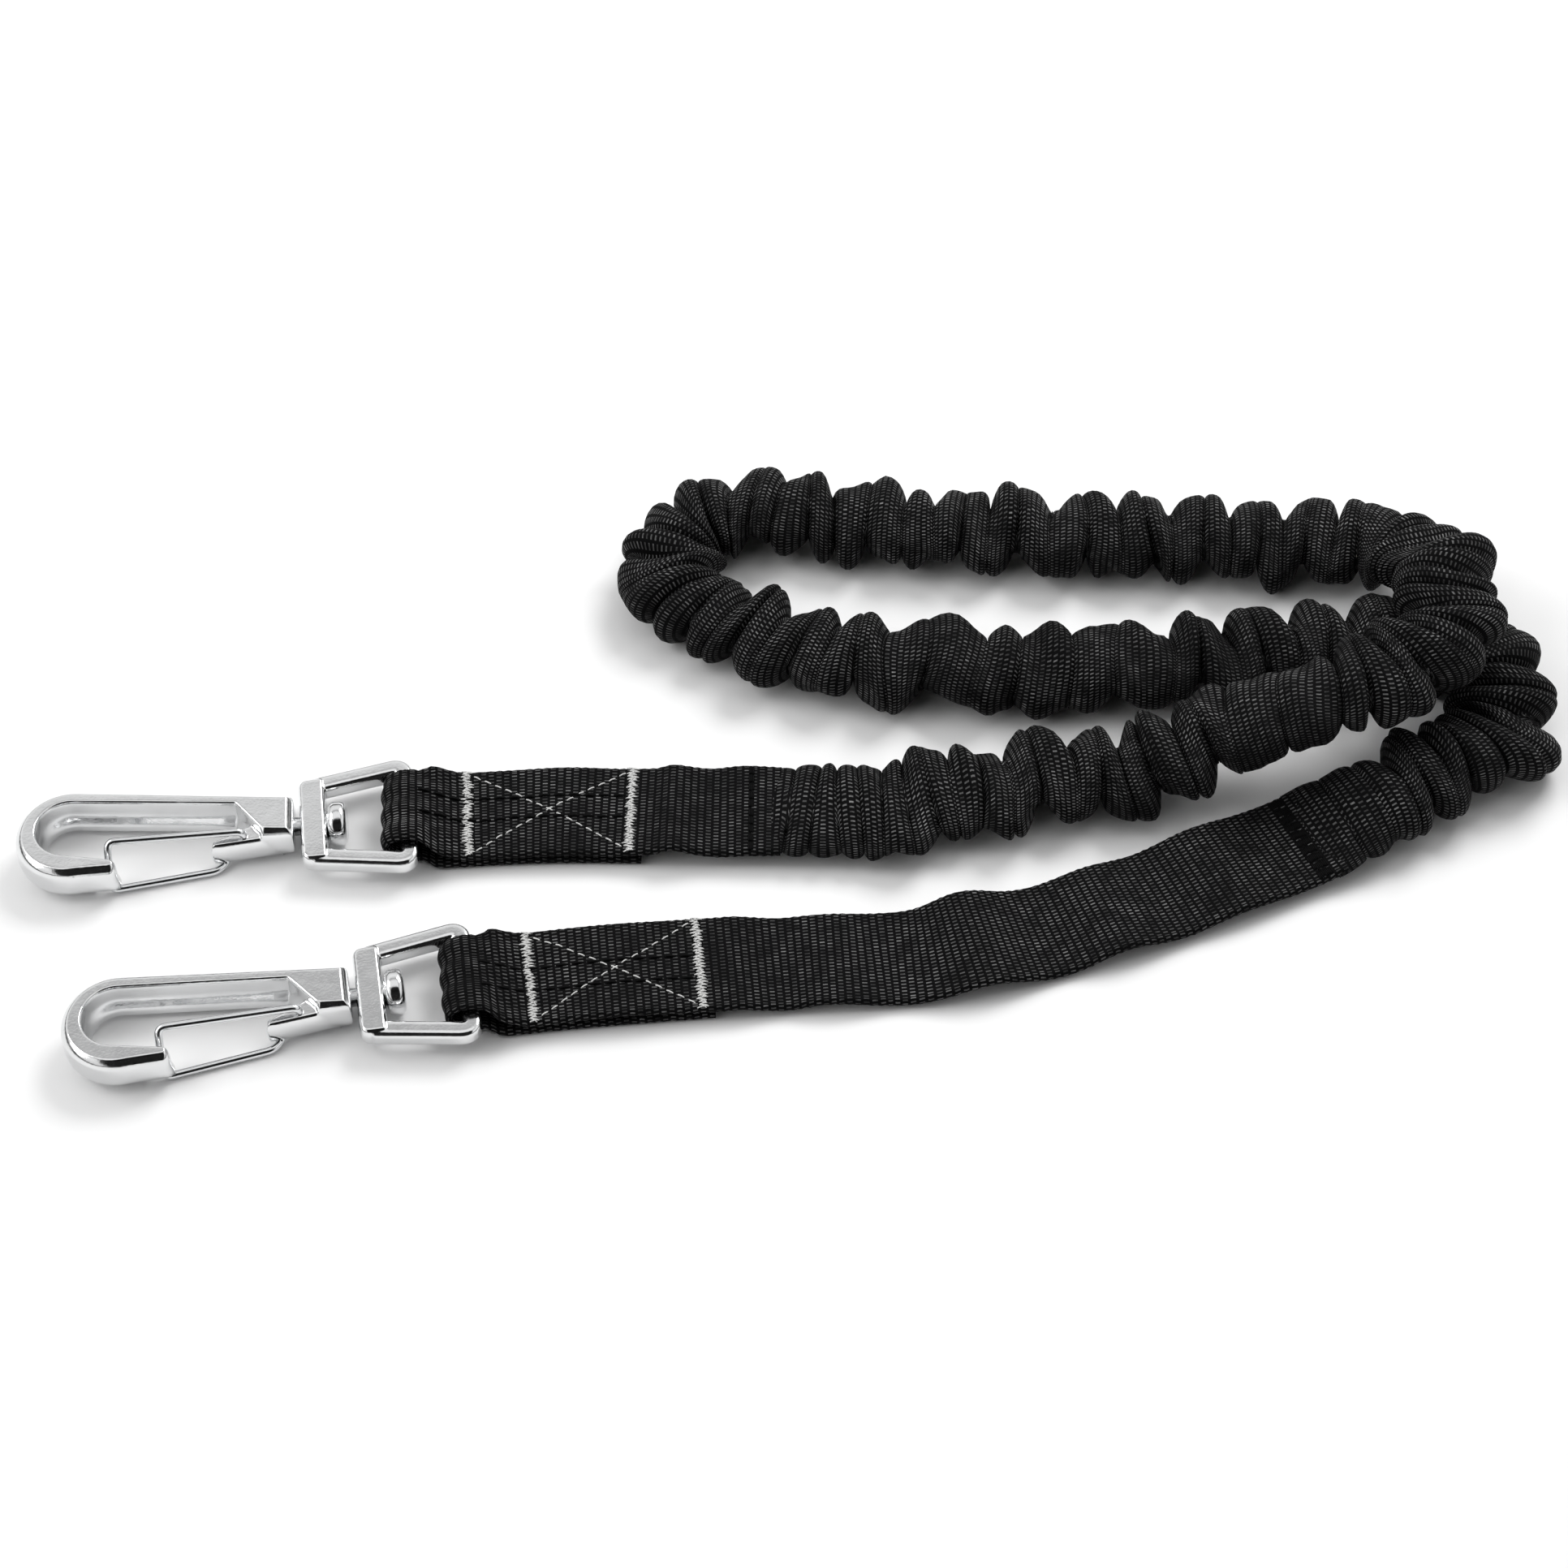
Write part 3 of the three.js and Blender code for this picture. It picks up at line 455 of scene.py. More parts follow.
def webbing_end(hook):
    """Flat strap from the sleeve's mouth to the crossbar, round it, and back under itself."""
    step = 1.0 * MM
    rows = []
    for d in np.arange(MOUTHS[hook] + 3 * MM, 0, -step):
        centre, side, up, roll = (v[0] for v in upper_centre(hook, d))
        rows.append((centre, side, up, float(upper_half_width(d)), d, roll, True))
    centre0, side0, up0 = (v[0] for v in strap_frame(from_bar(hook, 0)))
    along = np.cross(side0, up0) * (1 if hook == 1 else -1)  # away from the hook
    for angle in np.radians(np.arange(90, -91, -7.5)):
        centre = centre0 + along * (-FOLD_REACH * math.cos(angle))
        centre[2] = BAR_HEIGHT + FOLD_RADIUS * math.sin(angle)
        up = -along * math.cos(angle) + up0 * math.sin(angle)
        half = FOLD_HALF + FOLD_SPREAD * (1 - math.cos(angle))
        on_top = math.sin(angle) > -0.3
        rows.append((centre, side0, up, half, -FOLD_REACH * math.cos(angle), 0.0, on_top))
    low = BAR_HEIGHT - FOLD_RADIUS
    for d in np.arange(step, TAIL_LENGTH - TAIL_TRIM, step):
        centre, side, up = (v[0] for v in strap_frame(from_bar(hook, d)))
        centre[2] = low + (TAIL_LEVEL - low) * float(smooth(d, 0, FOLD_BLEND))
        half = float(upper_half_width(d)) - TAIL_INSET
        rows.append((centre, side, -up, half, d, 0.0, False))
    vertices = []
    distance = [0.0]
    for k, (centre, side, up, half, d, roll, ridged) in enumerate(rows):
        r = WEB_THICK / 2
        shape = stadium(half, WEB_THICK)
        x, y = shape[:, 0], shape[:, 1].copy()
        if ridged:
            y += corrugation(x, d) * (shape[:, 1] > 0) + roll * x / WEB_HALF
        edge = EDGE_RIPPLE * np.sin(2 * math.pi * (d / MM) / 1.8) * (np.abs(x) > half - r)
        x = x + np.sign(x) * edge
        vertices.append(centre + side * x[:, None] + up * y[:, None])
        if k:
            distance.append(distance[-1] + np.linalg.norm(centre - rows[k - 1][0]))
    # Distance round the section, so that the weave keeps its size on the flat faces.
    shape = stadium(WEB_HALF, WEB_THICK)
    columns = len(shape)
    faces = tube_faces(len(rows), columns)
    around = np.r_[0, np.cumsum(np.linalg.norm(np.diff(np.vstack([shape, shape[:1]]), axis=0), axis=1))]
    i, j = np.meshgrid(np.arange(len(rows) - 1), np.arange(columns), indexing="ij")
    distance = np.array(distance)
    corners = [np.stack([distance[i + di], around[j + dj]], axis=-1)
               for di, dj in ((0, 0), (0, 1), (1, 1), (1, 0))]
    uv = np.vstack([np.stack(corners, axis=2).reshape(-1, 2), np.zeros((2 * columns, 2))])
    piece = new_object(f"webbing_strap_{hook}", np.vstack(vertices), faces, WEBBING, uv)
    fix_normals(piece)
    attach(piece, "webbing")
    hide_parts(f"webbing_end_{hook}")


def fix_normals(thing):
    mesh = bmesh.new()
    mesh.from_mesh(thing.data)
    bmesh.ops.recalc_face_normals(mesh, faces=mesh.faces)
    mesh.to_mesh(thing.data)
    mesh.free()


# ---------------------------------------------------------------- gathered sleeve
SLEEVE_FROM = MOUTHS[1]
SLEEVE_TO = STRAP_LENGTH - MOUTHS[2]
SLEEVE_COLUMNS = 72
SLEEVE_FLECKS = 66  # flecks round the gathered sleeve
ROWS_PER_PILLOW = 11
EDGE_SHIFT = 1.2  # how far a one-sided crease pushes the sleeve to its other side (mm)
# Stretches of the sleeve: where each ends (mm from mouth 1), the spacing of its creases, how deep they
# cut the edges and the top, how far they slant, how uneven the spacing is, and how often a crease cuts
# the edge opposite to the last one's, which makes the sleeve run in zigzags.
STRETCHES = [
    (26, 5.6, 1.6, 2.2, 1.0, 0.12, 0.0),
    (54, 6.4, 2.8, 2.7, 1.2, 0.16, 0.3),
    (112, 7.2, 6.8, 2.9, -1.0, 0.20, 0.85),
    (138, 13.0, 3.2, 1.2, 3.0, 0.10, 0.5),
    (250, 7.2, 6.6, 2.9, 1.0, 0.20, 0.8),
    (375, 7.8, 6.8, 2.7, 0.0, 0.24, 0.8),
    (440, 6.6, 5.0, 2.9, 1.0, 0.20, 0.6),
    (482, 6.8, 7.4, 2.9, 2.0, 0.14, 1.0),
    (545, 11.0, 3.6, 1.3, 1.0, 0.25, 0.6),
    (620, 7.4, 7.0, 2.7, -1.0, 0.20, 0.9),
    (700, 7.0, 6.0, 2.9, 1.0, 0.20, 0.8),
    (716, 8.0, 1.2, 0.9, 0.5, 0.10, 0.0),
]
# Corners that stand out of the turns: distance from mouth 1, half length, height (mm).
TURN_CORNERS = [(203, 6, 2.8), (411, 5, 1.6), (646, 6, 1.8)]
CORE_ROOM = (6.8, 2.2)  # half width and height kept free round the elastic core


def crease_list(length, rng):
    """Each crease is its position, edge depths, top depth and slant, in millimetres."""
    creases = []
    at, slant, side = 0.0, 0.0, 1
    for end, pitch, edge, top, lean, uneven, zigzag_share in STRETCHES:
        while at < end - 0.35 * pitch:
            slant = 0.4 * slant + 0.6 * (lean + rng.normal(0, 1.3))
            one_sided = zigzag_share > 0 and rng.random() < 0.5 + zigzag_share / 2
            if rng.random() < 0.5 + zigzag_share / 2:
                side = -side
            deep = rng.uniform(0.8, 1.2)
            shallow = rng.uniform(0.0, 0.25) if one_sided else rng.uniform(0.4, 1.0)
            limit = 0.32 * pitch
            creases.append({
                "at": at,
                "left": edge * (deep if side < 0 else shallow),
                "right": edge * (deep if side > 0 else shallow),
                "top": top * rng.uniform(0.55, 1.3),
                "under": edge * rng.uniform(0.2, 0.6),
                "side": side if one_sided else 0,
                "slant": float(np.clip(slant, -limit, limit)),
                "bow": rng.normal(0, 0.10) * pitch,
            })
            at += pitch * rng.uniform(1 - uneven, 1 + uneven)
    ends = {"left": 0.2, "right": 0.2, "top": 0.2, "under": 0.2, "side": 0, "slant": 0, "bow": 0}
    creases[0].update(ends)
    creases.append({**ends, "at": length / MM})
    return creases


def waves_of(rng, count, lengths, turns):
    """A smooth random function of (distance, angle) as a sum of waves."""
    waves = [(rng.uniform(0.6, 1.0) / math.sqrt(count), 2 * math.pi / rng.uniform(*lengths),
              int(rng.integers(turns[0], turns[1] + 1)), rng.uniform(0, 2 * math.pi))
             for _ in range(count)]

    def value(distance, angle):
        total = np.zeros(np.broadcast(distance, angle).shape)
        for size, rate, turn, phase in waves:
            total += size * np.cos(rate * distance + turn * angle + phase)
        return total

    return value


def section_size(s, length):
    """Half width and half height (mm) of the sleeve's section at distance s (m), flat at its mouths."""
    s = s / MM
    length = length / MM
    width = 13.3 + 0.5 * smooth(s, 0, 8) - 1.5 * smooth(s, 30, 75) + 1.5 * smooth(s, length - 22, length)
    height = 1.35 + 2.6 * smooth(s, 0, 10) + 3.0 * smooth(s, 28, 80)
    height = height + (1.35 - height) * smooth(s, length - 24, length)
    return width, height


def sleeve_mesh():
    """Points of the gathered sleeve, one row round it after another; its sizes are in millimetres."""
    rng = np.random.default_rng(11)
    length = SLEEVE_TO - SLEEVE_FROM
    creases = crease_list(length, rng)
    angle = (np.arange(SLEEVE_COLUMNS) + 0.5) / SLEEVE_COLUMNS * 2 * math.pi
    across = -np.cos(angle)  # -1 and 1 at the two edges
    upward = np.sin(angle)

    def depth(c):
        edge = np.where(across < 0, c["left"], c["right"]) * np.abs(across) ** 1.1
        fade = 0.45 + 0.85 * (1 + c["side"] * across) / 2 if c["side"] else 0.9
        face = np.where(upward > 0, c["top"], c["under"]) * np.abs(upward) ** 1.3 * fade
        return edge + face

    def boundary(c):
        return c["at"] + c["slant"] * across + c["bow"] * (across**2 - 0.5)

    rows_s, rows_drop, rows_gain, rows_shift = [], [], [], []
    puff = waves_of(rng, 7, (11, 24), (1, 2))
    for before, after in zip(creases, creases[1:]):
        left, right = boundary(before), boundary(after)
        dl, dr = depth(before), depth(after)
        roundness = rng.uniform(0.7, 1.3)
        lean = rng.uniform(-0.35, 0.35)
        for m in range(ROWS_PER_PILLOW):
            phi = math.pi * m / ROWS_PER_PILLOW
            u = (1 - math.cos(phi)) / 2
            crest = math.sin(phi) ** roundness
            pos = left + (right - left) * (u + lean * 0.3 * crest * (1 - abs(2 * u - 1)))
            share = smooth(u, 0.15, 0.85)
            rows_s.append(pos)
            rows_drop.append((dl * (1 - share) + dr * share) * (1 - crest))
            rows_gain.append(1.2 * puff(pos, angle) * np.clip(crest, 0.2, 1))
            rows_shift.append(-EDGE_SHIFT * (before["side"] * (1 - share) + after["side"] * share))
    rows_s.append(boundary(creases[-1]))
    rows_drop.append(np.zeros(SLEEVE_COLUMNS))
    rows_gain.append(np.zeros(SLEEVE_COLUMNS))
    rows_shift.append(0.0)
    s = np.array(rows_s)
    drop = np.array(rows_drop)
    gain = np.array(rows_gain)

    middle = s.mean(axis=1, keepdims=True)
    open_part = smooth(middle, 4, 30) * (1 - smooth(middle, length / MM - 24, length / MM))
    lumps = waves_of(rng, 9, (13, 30), (0, 3))(s, angle)
    wrinkles = waves_of(rng, 12, (3.2, 6.5), (0, 2))(s, angle)
    patch = np.clip(waves_of(rng, 6, (18, 40), (1, 3))(s, angle), 0, 1)
    offset = (gain + 0.9 * lumps + 0.3 * wrinkles * patch) * open_part - drop
    for at, half, stand in TURN_CORNERS:
        offset += stand * np.exp(-((s - at) / half) ** 2) * np.clip(-across, 0, 1) ** 3

    width, height = section_size(s * MM, length)
    squash = np.abs(across) ** 0.92 * np.sign(across)
    normal_x = across / width
    normal_y = upward / height
    size = np.hypot(normal_x, normal_y)
    x = squash * width + offset * normal_x / size
    y = np.sign(upward) * np.abs(upward) ** 0.9 * height + offset * normal_y / size
    y = np.where(y * upward < 0, 0.15 * upward, y)  # never through the middle

    sway = (1.2 * waves_of(rng, 5, (24, 60), (0, 0))(middle, 0.0) + np.array(rows_shift)[:, None]) * open_part
    heave = 0.7 * waves_of(rng, 4, (20, 50), (0, 0))(middle, 0.0) * open_part
    twist = np.radians(9) * waves_of(rng, 5, (28, 70), (0, 0))(middle, 0.0) * open_part
    x, y = x * np.cos(twist) - y * np.sin(twist) + sway, x * np.sin(twist) + y * np.cos(twist) + heave
    core_x, core_y = CORE_ROOM
    inside = ((x / core_x) ** 4 + (y / np.minimum(height, core_y)) ** 4) ** 0.25
    outwards = 1 / np.clip(inside, 0.2, 1)
    x, y = x * outwards, y * outwards

    centre, side, up = strap_frame((SLEEVE_FROM + s * MM).ravel())
    lowest = (section_size(s * MM, length)[1] * MM + 0.1 * MM).ravel()
    centre[:, 2] = np.maximum(centre[:, 2], lowest)
    points = centre + side * (x.ravel() * MM)[:, None] + up * (y.ravel() * MM)[:, None]
    floor = 0.15 * MM
    below = points[:, 2] < floor
    points[below, 2] = floor
    return points.reshape(s.shape + (3,))


def sleeve():
    points = sleeve_mesh()
    rows, columns = points.shape[:2]
    steps = np.linalg.norm(np.diff(points, axis=0), axis=2).mean(axis=1)
    along = np.r_[0, np.cumsum(steps)]
    faces = tube_faces(rows, columns)
    uv = tube_uv(rows, columns, 1.1 * along, SLEEVE_FLECKS * WEAVE_ACROSS)
    piece = new_object("gathered_sleeve", points.reshape(-1, 3), faces, WEBBING, uv)
    fix_normals(piece)
    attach(piece, "webbing")
    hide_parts("webbing_sleeve")
    return piece


def declare_cord():
    """Works out the centreline of the sleeve's length of strap, from mouth to mouth, kept at least the
    section's half height above the floor; nothing is made from it.
    """
    stations = np.linspace(SLEEVE_FROM, SLEEVE_TO, 160)
    centre, _, _ = strap_frame(stations)
    _, height = section_size(stations - SLEEVE_FROM, SLEEVE_TO - SLEEVE_FROM)
    centre[:, 2] = np.maximum(centre[:, 2], height * MM + 0.1 * MM)


SLEEVE = sleeve()
declare_cord()
for hook in (1, 2):
    webbing_end(hook)

# ---------------------------------------------------------------- sewing
TACK_THREAD = 0.15 * MM  # radii of the threads
CROSS_THREAD = 0.19 * MM
SEAM_THREAD = 0.40 * MM
ANCHOR_THREAD = 0.27 * MM
NEAR_TACK = 13 * MM
FAR_TACK = 52 * MM
TACK_LENGTH = 2.6 * MM
TACK_HALF = 12.9 * MM
ROW_OFFSETS = (4.2 * MM, -2.2 * MM)


def thread(points, radius, sides=6):
    """Vertices and faces of a thread along points."""
    points = np.asarray(points, float)
    tangent = unit(np.gradient(points, axis=0))
    across = unit(np.cross(tangent, (0, 0, 1.0)) + np.array((1e-9, 0, 0)))
    upward = np.cross(across, tangent)
    angle = np.arange(sides) / sides * 2 * math.pi
    cos, sin = np.cos(angle)[None, :, None], np.sin(angle)[None, :, None]
    ring = cos * across[:, None, :] + sin * upward[:, None, :]
    vertices = points[:, None, :] + radius * ring
    return vertices.reshape(-1, 3), tube_faces(len(points), sides)


def stitched(name, runs, radius, material, replaced):
    """One piece made of many separate lengths of thread."""
    vertices, faces, count = [], [], 0
    for points in runs:
        v, f = thread(points, radius)
        vertices.append(v)
        faces.extend([[count + k for k in face] for face in f])
        count += len(v)
    piece = new_object(name, np.vstack(vertices), faces, material)
    fix_normals(piece)
    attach(piece, "webbing")
    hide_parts(*replaced)


def dashes(hook, start, end, pitch, gap, lift, rng, wobble=0.1 * MM):
    """Stitches between two (d, x) points; each rises out of the webbing and dives back."""
    start, end = np.array(start), np.array(end)
    length = np.linalg.norm(end - start)
    count = max(1, int(round(length / pitch)))
    runs = []
    for k in range(count):
        a = (k + 0.5 * gap / pitch) / count
        b = (k + 1 - 0.5 * gap / pitch) / count
        share = np.linspace(a, b, 7)
        line = start + (end - start) * share[:, None]
        line[:, 1] += rng.normal(0, wobble)
        arch = np.sin(np.linspace(0, math.pi, 7)) ** 0.5
        runs.append(on_strap(hook, line[:, 0], line[:, 1], (arch - 0.75) * lift))
    return runs


def zigzag(hook, at, width, pitch, rng):
    """Ragged zigzag of a bar tack across the strap."""
    count = int(2 * TACK_HALF / pitch)
    sideways = np.linspace(-TACK_HALF, TACK_HALF, count)
    lean = rng.normal(0, 0.18 * width, count)
    reach = np.where(np.arange(count) % 2, 0.5, -0.5) * width * rng.uniform(0.55, 1.1, count)
    d = at + width * 0.5 + reach + lean * 0.4
    runs = []
    for k in range(count - 1):
        share = np.linspace(0, 1, 6)
        dd = d[k] + (d[k + 1] - d[k]) * share
        xx = sideways[k] + (sideways[k + 1] - sideways[k]) * share
        arch = np.sin(share * math.pi) ** 0.6
        height = (arch - 0.45) * 0.34 * MM + rng.uniform(0, 0.12) * MM
        runs.append(on_strap(hook, dd, xx, height))
    return runs


def sewing(hook):
    rng = np.random.default_rng(100 + hook)
    for name, at in (("near", NEAR_TACK), ("far", FAR_TACK)):
        runs = zigzag(hook, at, TACK_LENGTH, 0.42 * MM, rng)
        runs += zigzag(hook, at + 0.35 * MM, TACK_LENGTH * 0.7, 0.8 * MM, rng)
        stitched(f"bar_tack_stitches_{hook}_{name}", runs, TACK_THREAD, WHITE_THREAD,
                 [f"bar_tack_{hook}_{name}"])
    start, end, reach = NEAR_TACK + TACK_LENGTH, FAR_TACK, TACK_HALF - 1.2 * MM
    cross = []
    for sign in (1, -1):
        cross += dashes(hook, (start, -sign * reach), (end, sign * reach), 2.9 * MM, 0.9 * MM,
                        0.42 * MM, rng)
    stitched(f"cross_stitches_{hook}", cross, CROSS_THREAD, WHITE_THREAD,
             [f"cross_stitch_{hook}"])
    for row, offset in zip("ab", ROW_OFFSETS):
        runs = dashes(hook, (2.5 * MM, offset), (FAR_TACK, offset), 3.6 * MM, 0.9 * MM, 0.5 * MM, rng)
        stitched(f"seam_stitches_{hook}_{row}", runs, SEAM_THREAD, BLACK_THREAD,
                 [f"seam_row_{hook}_{row}"])
    anchor = []
    mouth = MOUTHS[hook]
    rows, lift = (9, 0.4 * MM) if hook == 2 else (3, 0.16 * MM)  # barely there at end 1
    for k in range(rows):
        d = mouth - 4.4 * MM + k * 0.42 * MM
        anchor += dashes(hook, (d, -12.6 * MM), (d, 12.6 * MM), 2.6 * MM, 0.3 * MM, lift, rng)
    stitched(f"anchor_stitches_{hook}", anchor, ANCHOR_THREAD, BLACK_THREAD,
             [f"core_anchor_tack_{hook}"])


for hook in (1, 2):
    sewing(hook)

# ---------------------------------------------------------------- snap hooks
# Millimetres in the hook's own frame: origin on the floor under the neck, +X towards the webbing.
HOOK_HEIGHT = 11.0
PIN_HEIGHT = 5.5
SHANK_HALF = 5.2
BEND_CENTRE = (-52.1, -1.3)
BEND_RADIUS = 12.0
THROAT_CENTRE = (-52.2, -0.3)
THROAT_RADIUS = 8.0
SPINE_TILT = 6
NOSE_TILT = 8
TIP = (-42.8, -11.7, 1.3)
THROAT_CORNER = (-13.5, 4.0)
SHANK_CORNER = (-7.0, -4.7)
ARM_CORNERS = [(-19.0, -6.6), (-0.9, -4.6), (-4, -1), (-9.8, -0.6), (-14.0, -2.9), (-18.8, -5.0)]
GATE_PIVOT = (-11.6, -4.2)
GATE_HEEL = (-16.2, -5.6)
WIRE_KNEE = (-18.4, -8.4)
WIRE_RADIUS = 0.9
WIRE_TOP = 10.1
WIRE_LOW = 1.1
GATE_END_X = -43.4
GATE_END_TOP_Y = -4.7
GATE_END_LOW_Y = -12.0
WIRE_END_HEIGHT = 4.6  # where the wire's turned ends stop inside the arm
ARM_MIDDLE = 4.7  # height of the gate arm's middle, and half its thickness
ARM_HALF = 3.5
EYE_BAR_X = 26.6  # neck to the eye's crossbar
EYE_HALF_BASE, EYE_HALF_BAR = 10.6, 14.5  # half spans of the legs' middles at the base and at the bar
EYE_BASE = (1.2, 7.8, 12.5)  # where the base starts and ends, and its half width
EYE_BASE_HALF = 2.7  # half its thickness
EYE_BASE_SWELL = 0.9
VOXEL = 0.22 * MM
SOFTENING = 8  # smoothing passes after the remesh


def hook_matrix(hook):
    """Places the hook's own frame."""
    joint = JOINTS[f"hook_{hook}_swivel"]
    return own_frame(joint["pos_m"], joint["axis"])


def eye_matrix(hook):
    """Places the same frame moved to the crossbar, turned with the eye."""
    joint = JOINTS[f"eye_{hook}_swing"]
    x, y, _ = joint["axis"]
    return own_frame(joint["pos_m"], (y, -x, 0))


def own_frame(position, axis):
    yaw = math.atan2(axis[1], axis[0])
    place = Matrix.Translation((position[0], position[1], 0))
    return place @ Matrix.Rotation(yaw, 4, "Z") @ Matrix.Scale(MM, 4)


def arc(centre, radius, start, end, steps):
    """Points on an arc between two angles in degrees."""
    return [(centre[0] + radius * math.cos(a), centre[1] + radius * math.sin(a))
            for a in np.radians(np.linspace(start, end, steps))]


def straight(a, b, steps):
    """Points from a up to but not including b."""
    return [(a[0] + (b[0] - a[0]) * t, a[1] + (b[1] - a[1]) * t)
            for t in np.linspace(0, 1, steps, endpoint=False)]


def hook_outline():
    """Outline points and, for each, 1 on the throat's side or 0 outside."""
    bend = arc(BEND_CENTRE, BEND_RADIUS, 90 - SPINE_TILT, 270 + NOSE_TILT, 60)
    tip = arc(TIP[:2], TIP[2], 270 + NOSE_TILT, 438, 14)
    throat = arc(THROAT_CENTRE, THROAT_RADIUS, 258, 84.5, 50)
    outer = [SHANK_CORNER] + straight((-0.8, -SHANK_HALF), (-0.8, SHANK_HALF), 12)
    outer += straight((-0.8, SHANK_HALF), bend[0], 30) + bend[:-1] + straight(bend[-1], tip[0], 8)
    inner = straight(tip[-1], throat[0], 8) + throat[:-1] + straight(throat[-1], THROAT_CORNER, 24)
    inner += straight(THROAT_CORNER, SHANK_CORNER, 10)
    points = outer + tip[:-1] + inner
    side = [0.0] * len(outer) + list(np.linspace(0, 1, len(tip) - 1)) + [1.0] * len(inner)
    return np.array(points), np.array(side)


def outline_normals(points):
    ahead = np.roll(points, -1, axis=0) - points
    behind = points - np.roll(points, 1, axis=0)
    tangent = unit(unit(ahead) + unit(behind))
    return np.stack([tangent[:, 1], -tangent[:, 0]], axis=-1)


def flank(z, side):
    """How far the casting's flank stands out at height z, outside (0) and in the throat (1)."""
    level = z / HOOK_HEIGHT
    bulge = 1.0 * math.sqrt(max(0.0, 1 - (1.75 * (level - 0.52)) ** 2))
    top_edge = 1.3 * max(0.0, (level - 0.8) / 0.2) ** 2
    bottom_edge = 3.0 * (max(0.0, 0.40 - level) / 0.40) ** 2
    outer = bulge - top_edge - bottom_edge
    inner = 0.1 + 1.2 * float(smooth(0.62 - level, 0, 0.4)) - 1.6 * (max(0.0, 0.14 - level) / 0.14)
    inner -= 0.3 * float(smooth(level, 0.93, 1.0))
    return outer * (1 - side) + inner * side


def prism(outline, side, levels, shape):
    """A closed body from an outline offset by shape(z, side) at each level."""
    normals = outline_normals(outline)
    rings = []
    for z in levels:
        offset = shape(z, side)
        ring = outline + normals * np.asarray(offset)[:, None]
        rings.append(np.column_stack([ring, np.full(len(ring), z)]))
    return np.vstack(rings), tube_faces(len(levels), len(outline))


def solid_from(parts):
    """One mesh object of several closed bodies, in millimetres."""
    mesh = bpy.data.meshes.new("casting")
    vertices, faces = [], []
    for v, f in parts:
        base = len(vertices)
        vertices.extend(tuple(p) for p in v)
        faces.extend([base + k for k in face] for face in f)
    mesh.from_pydata(vertices, [], faces)
    thing = bpy.data.objects.new("casting", mesh)
    bpy.context.scene.collection.objects.link(thing)
    fix_normals(thing)
    return thing


def fuse(thing, name, matrix, material):
    """Turns overlapping bodies into one smooth casting, placed by matrix."""
    thing.data.transform(matrix)
    remesh = thing.modifiers.new("fuse", "REMESH")
    remesh.mode = "VOXEL"
    remesh.voxel_size = VOXEL
    soften = thing.modifiers.new("soften", "SMOOTH")
    soften.factor = 0.5
    soften.iterations = SOFTENING
    evaluated = thing.evaluated_get(bpy.context.evaluated_depsgraph_get())
    mesh = bpy.data.meshes.new_from_object(evaluated)
    bpy.data.objects.remove(thing)
    piece = bpy.data.objects.new(name, mesh)
    bpy.context.scene.collection.objects.link(piece)
    mesh.name = name
    mesh.materials.clear()
    mesh.materials.append(material)
    mesh.polygons.foreach_set("use_smooth", np.ones(len(mesh.polygons), bool))
    return piece


def gate_seat(vertices):
    """Lifts the underside of the nose's end on to the slanting plane where the closed wire rests."""
    slope = (WIRE_TOP - WIRE_LOW) / (GATE_END_TOP_Y - GATE_END_LOW_Y)
    clearance = (WIRE_RADIUS + 0.1) * math.hypot(1, slope)
    seat = WIRE_TOP + clearance + slope * (vertices[:, 1] - GATE_END_TOP_Y)
    near_tip = smooth(vertices[:, 0], GATE_END_X - 3.4, GATE_END_X - 1.6) * (vertices[:, 1] < -6)
    lifted = vertices.copy()
    lifted[:, 2] += np.clip(np.minimum(seat, HOOK_HEIGHT - 1.2) - vertices[:, 2], 0, None) * near_tip
    return lifted


def snap_hook(hook):
    outline, side = hook_outline()
    levels = [0, 0.15, 0.5, 1, 1.6, 2.3, 3, 3.8, 4.6, 5.5, 6.3, 7.1, 8, 9, 9.8, 10.4, 10.8, 11.0]
    body = prism(outline, side, levels, lambda z, s: np.array([flank(z, v) for v in s]))
    next_corners = ARM_CORNERS[1:] + ARM_CORNERS[:1]
    arm_points = np.vstack([straight(a, b, 8) for a, b in zip(ARM_CORNERS, next_corners)])
    arm_levels = np.linspace(1.2, 8.2, 12)

    def arm_flank(z, s):
        level = (z - ARM_MIDDLE) / ARM_HALF
        return np.full(len(s), 0.8 * math.sqrt(max(0.0, 1 - level**2)) - 0.3)

    arm = prism(arm_points, np.zeros(len(arm_points)), arm_levels, arm_flank)
    collar = lathe([(0, -3.2), (4.4, -3.2), (4.9, -2.6), (4.9, -0.9), (4.3, -0.5), (0, -0.5)])
    casting = solid_from([(gate_seat(body[0]), body[1]), arm, collar])
    piece = fuse(casting, f"snap_hook_{hook}", hook_matrix(hook), CHROME)
    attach(piece, f"hook_{hook}")
    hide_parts(f"hook_body_{hook}")


def lathe(profile, sides=48):
    """Body of revolution about the pin's axis from (radius, x) pairs, ends on the axis."""
    inner = profile[1:-1]
    rings = []
    for radius, x in inner:
        angle = np.arange(sides) / sides * 2 * math.pi
        y, z = radius * np.cos(angle), PIN_HEIGHT + radius * np.sin(angle)
        rings.append(np.column_stack([np.full(sides, x), y, z]))
    return np.vstack(rings), tube_faces(len(inner), sides)


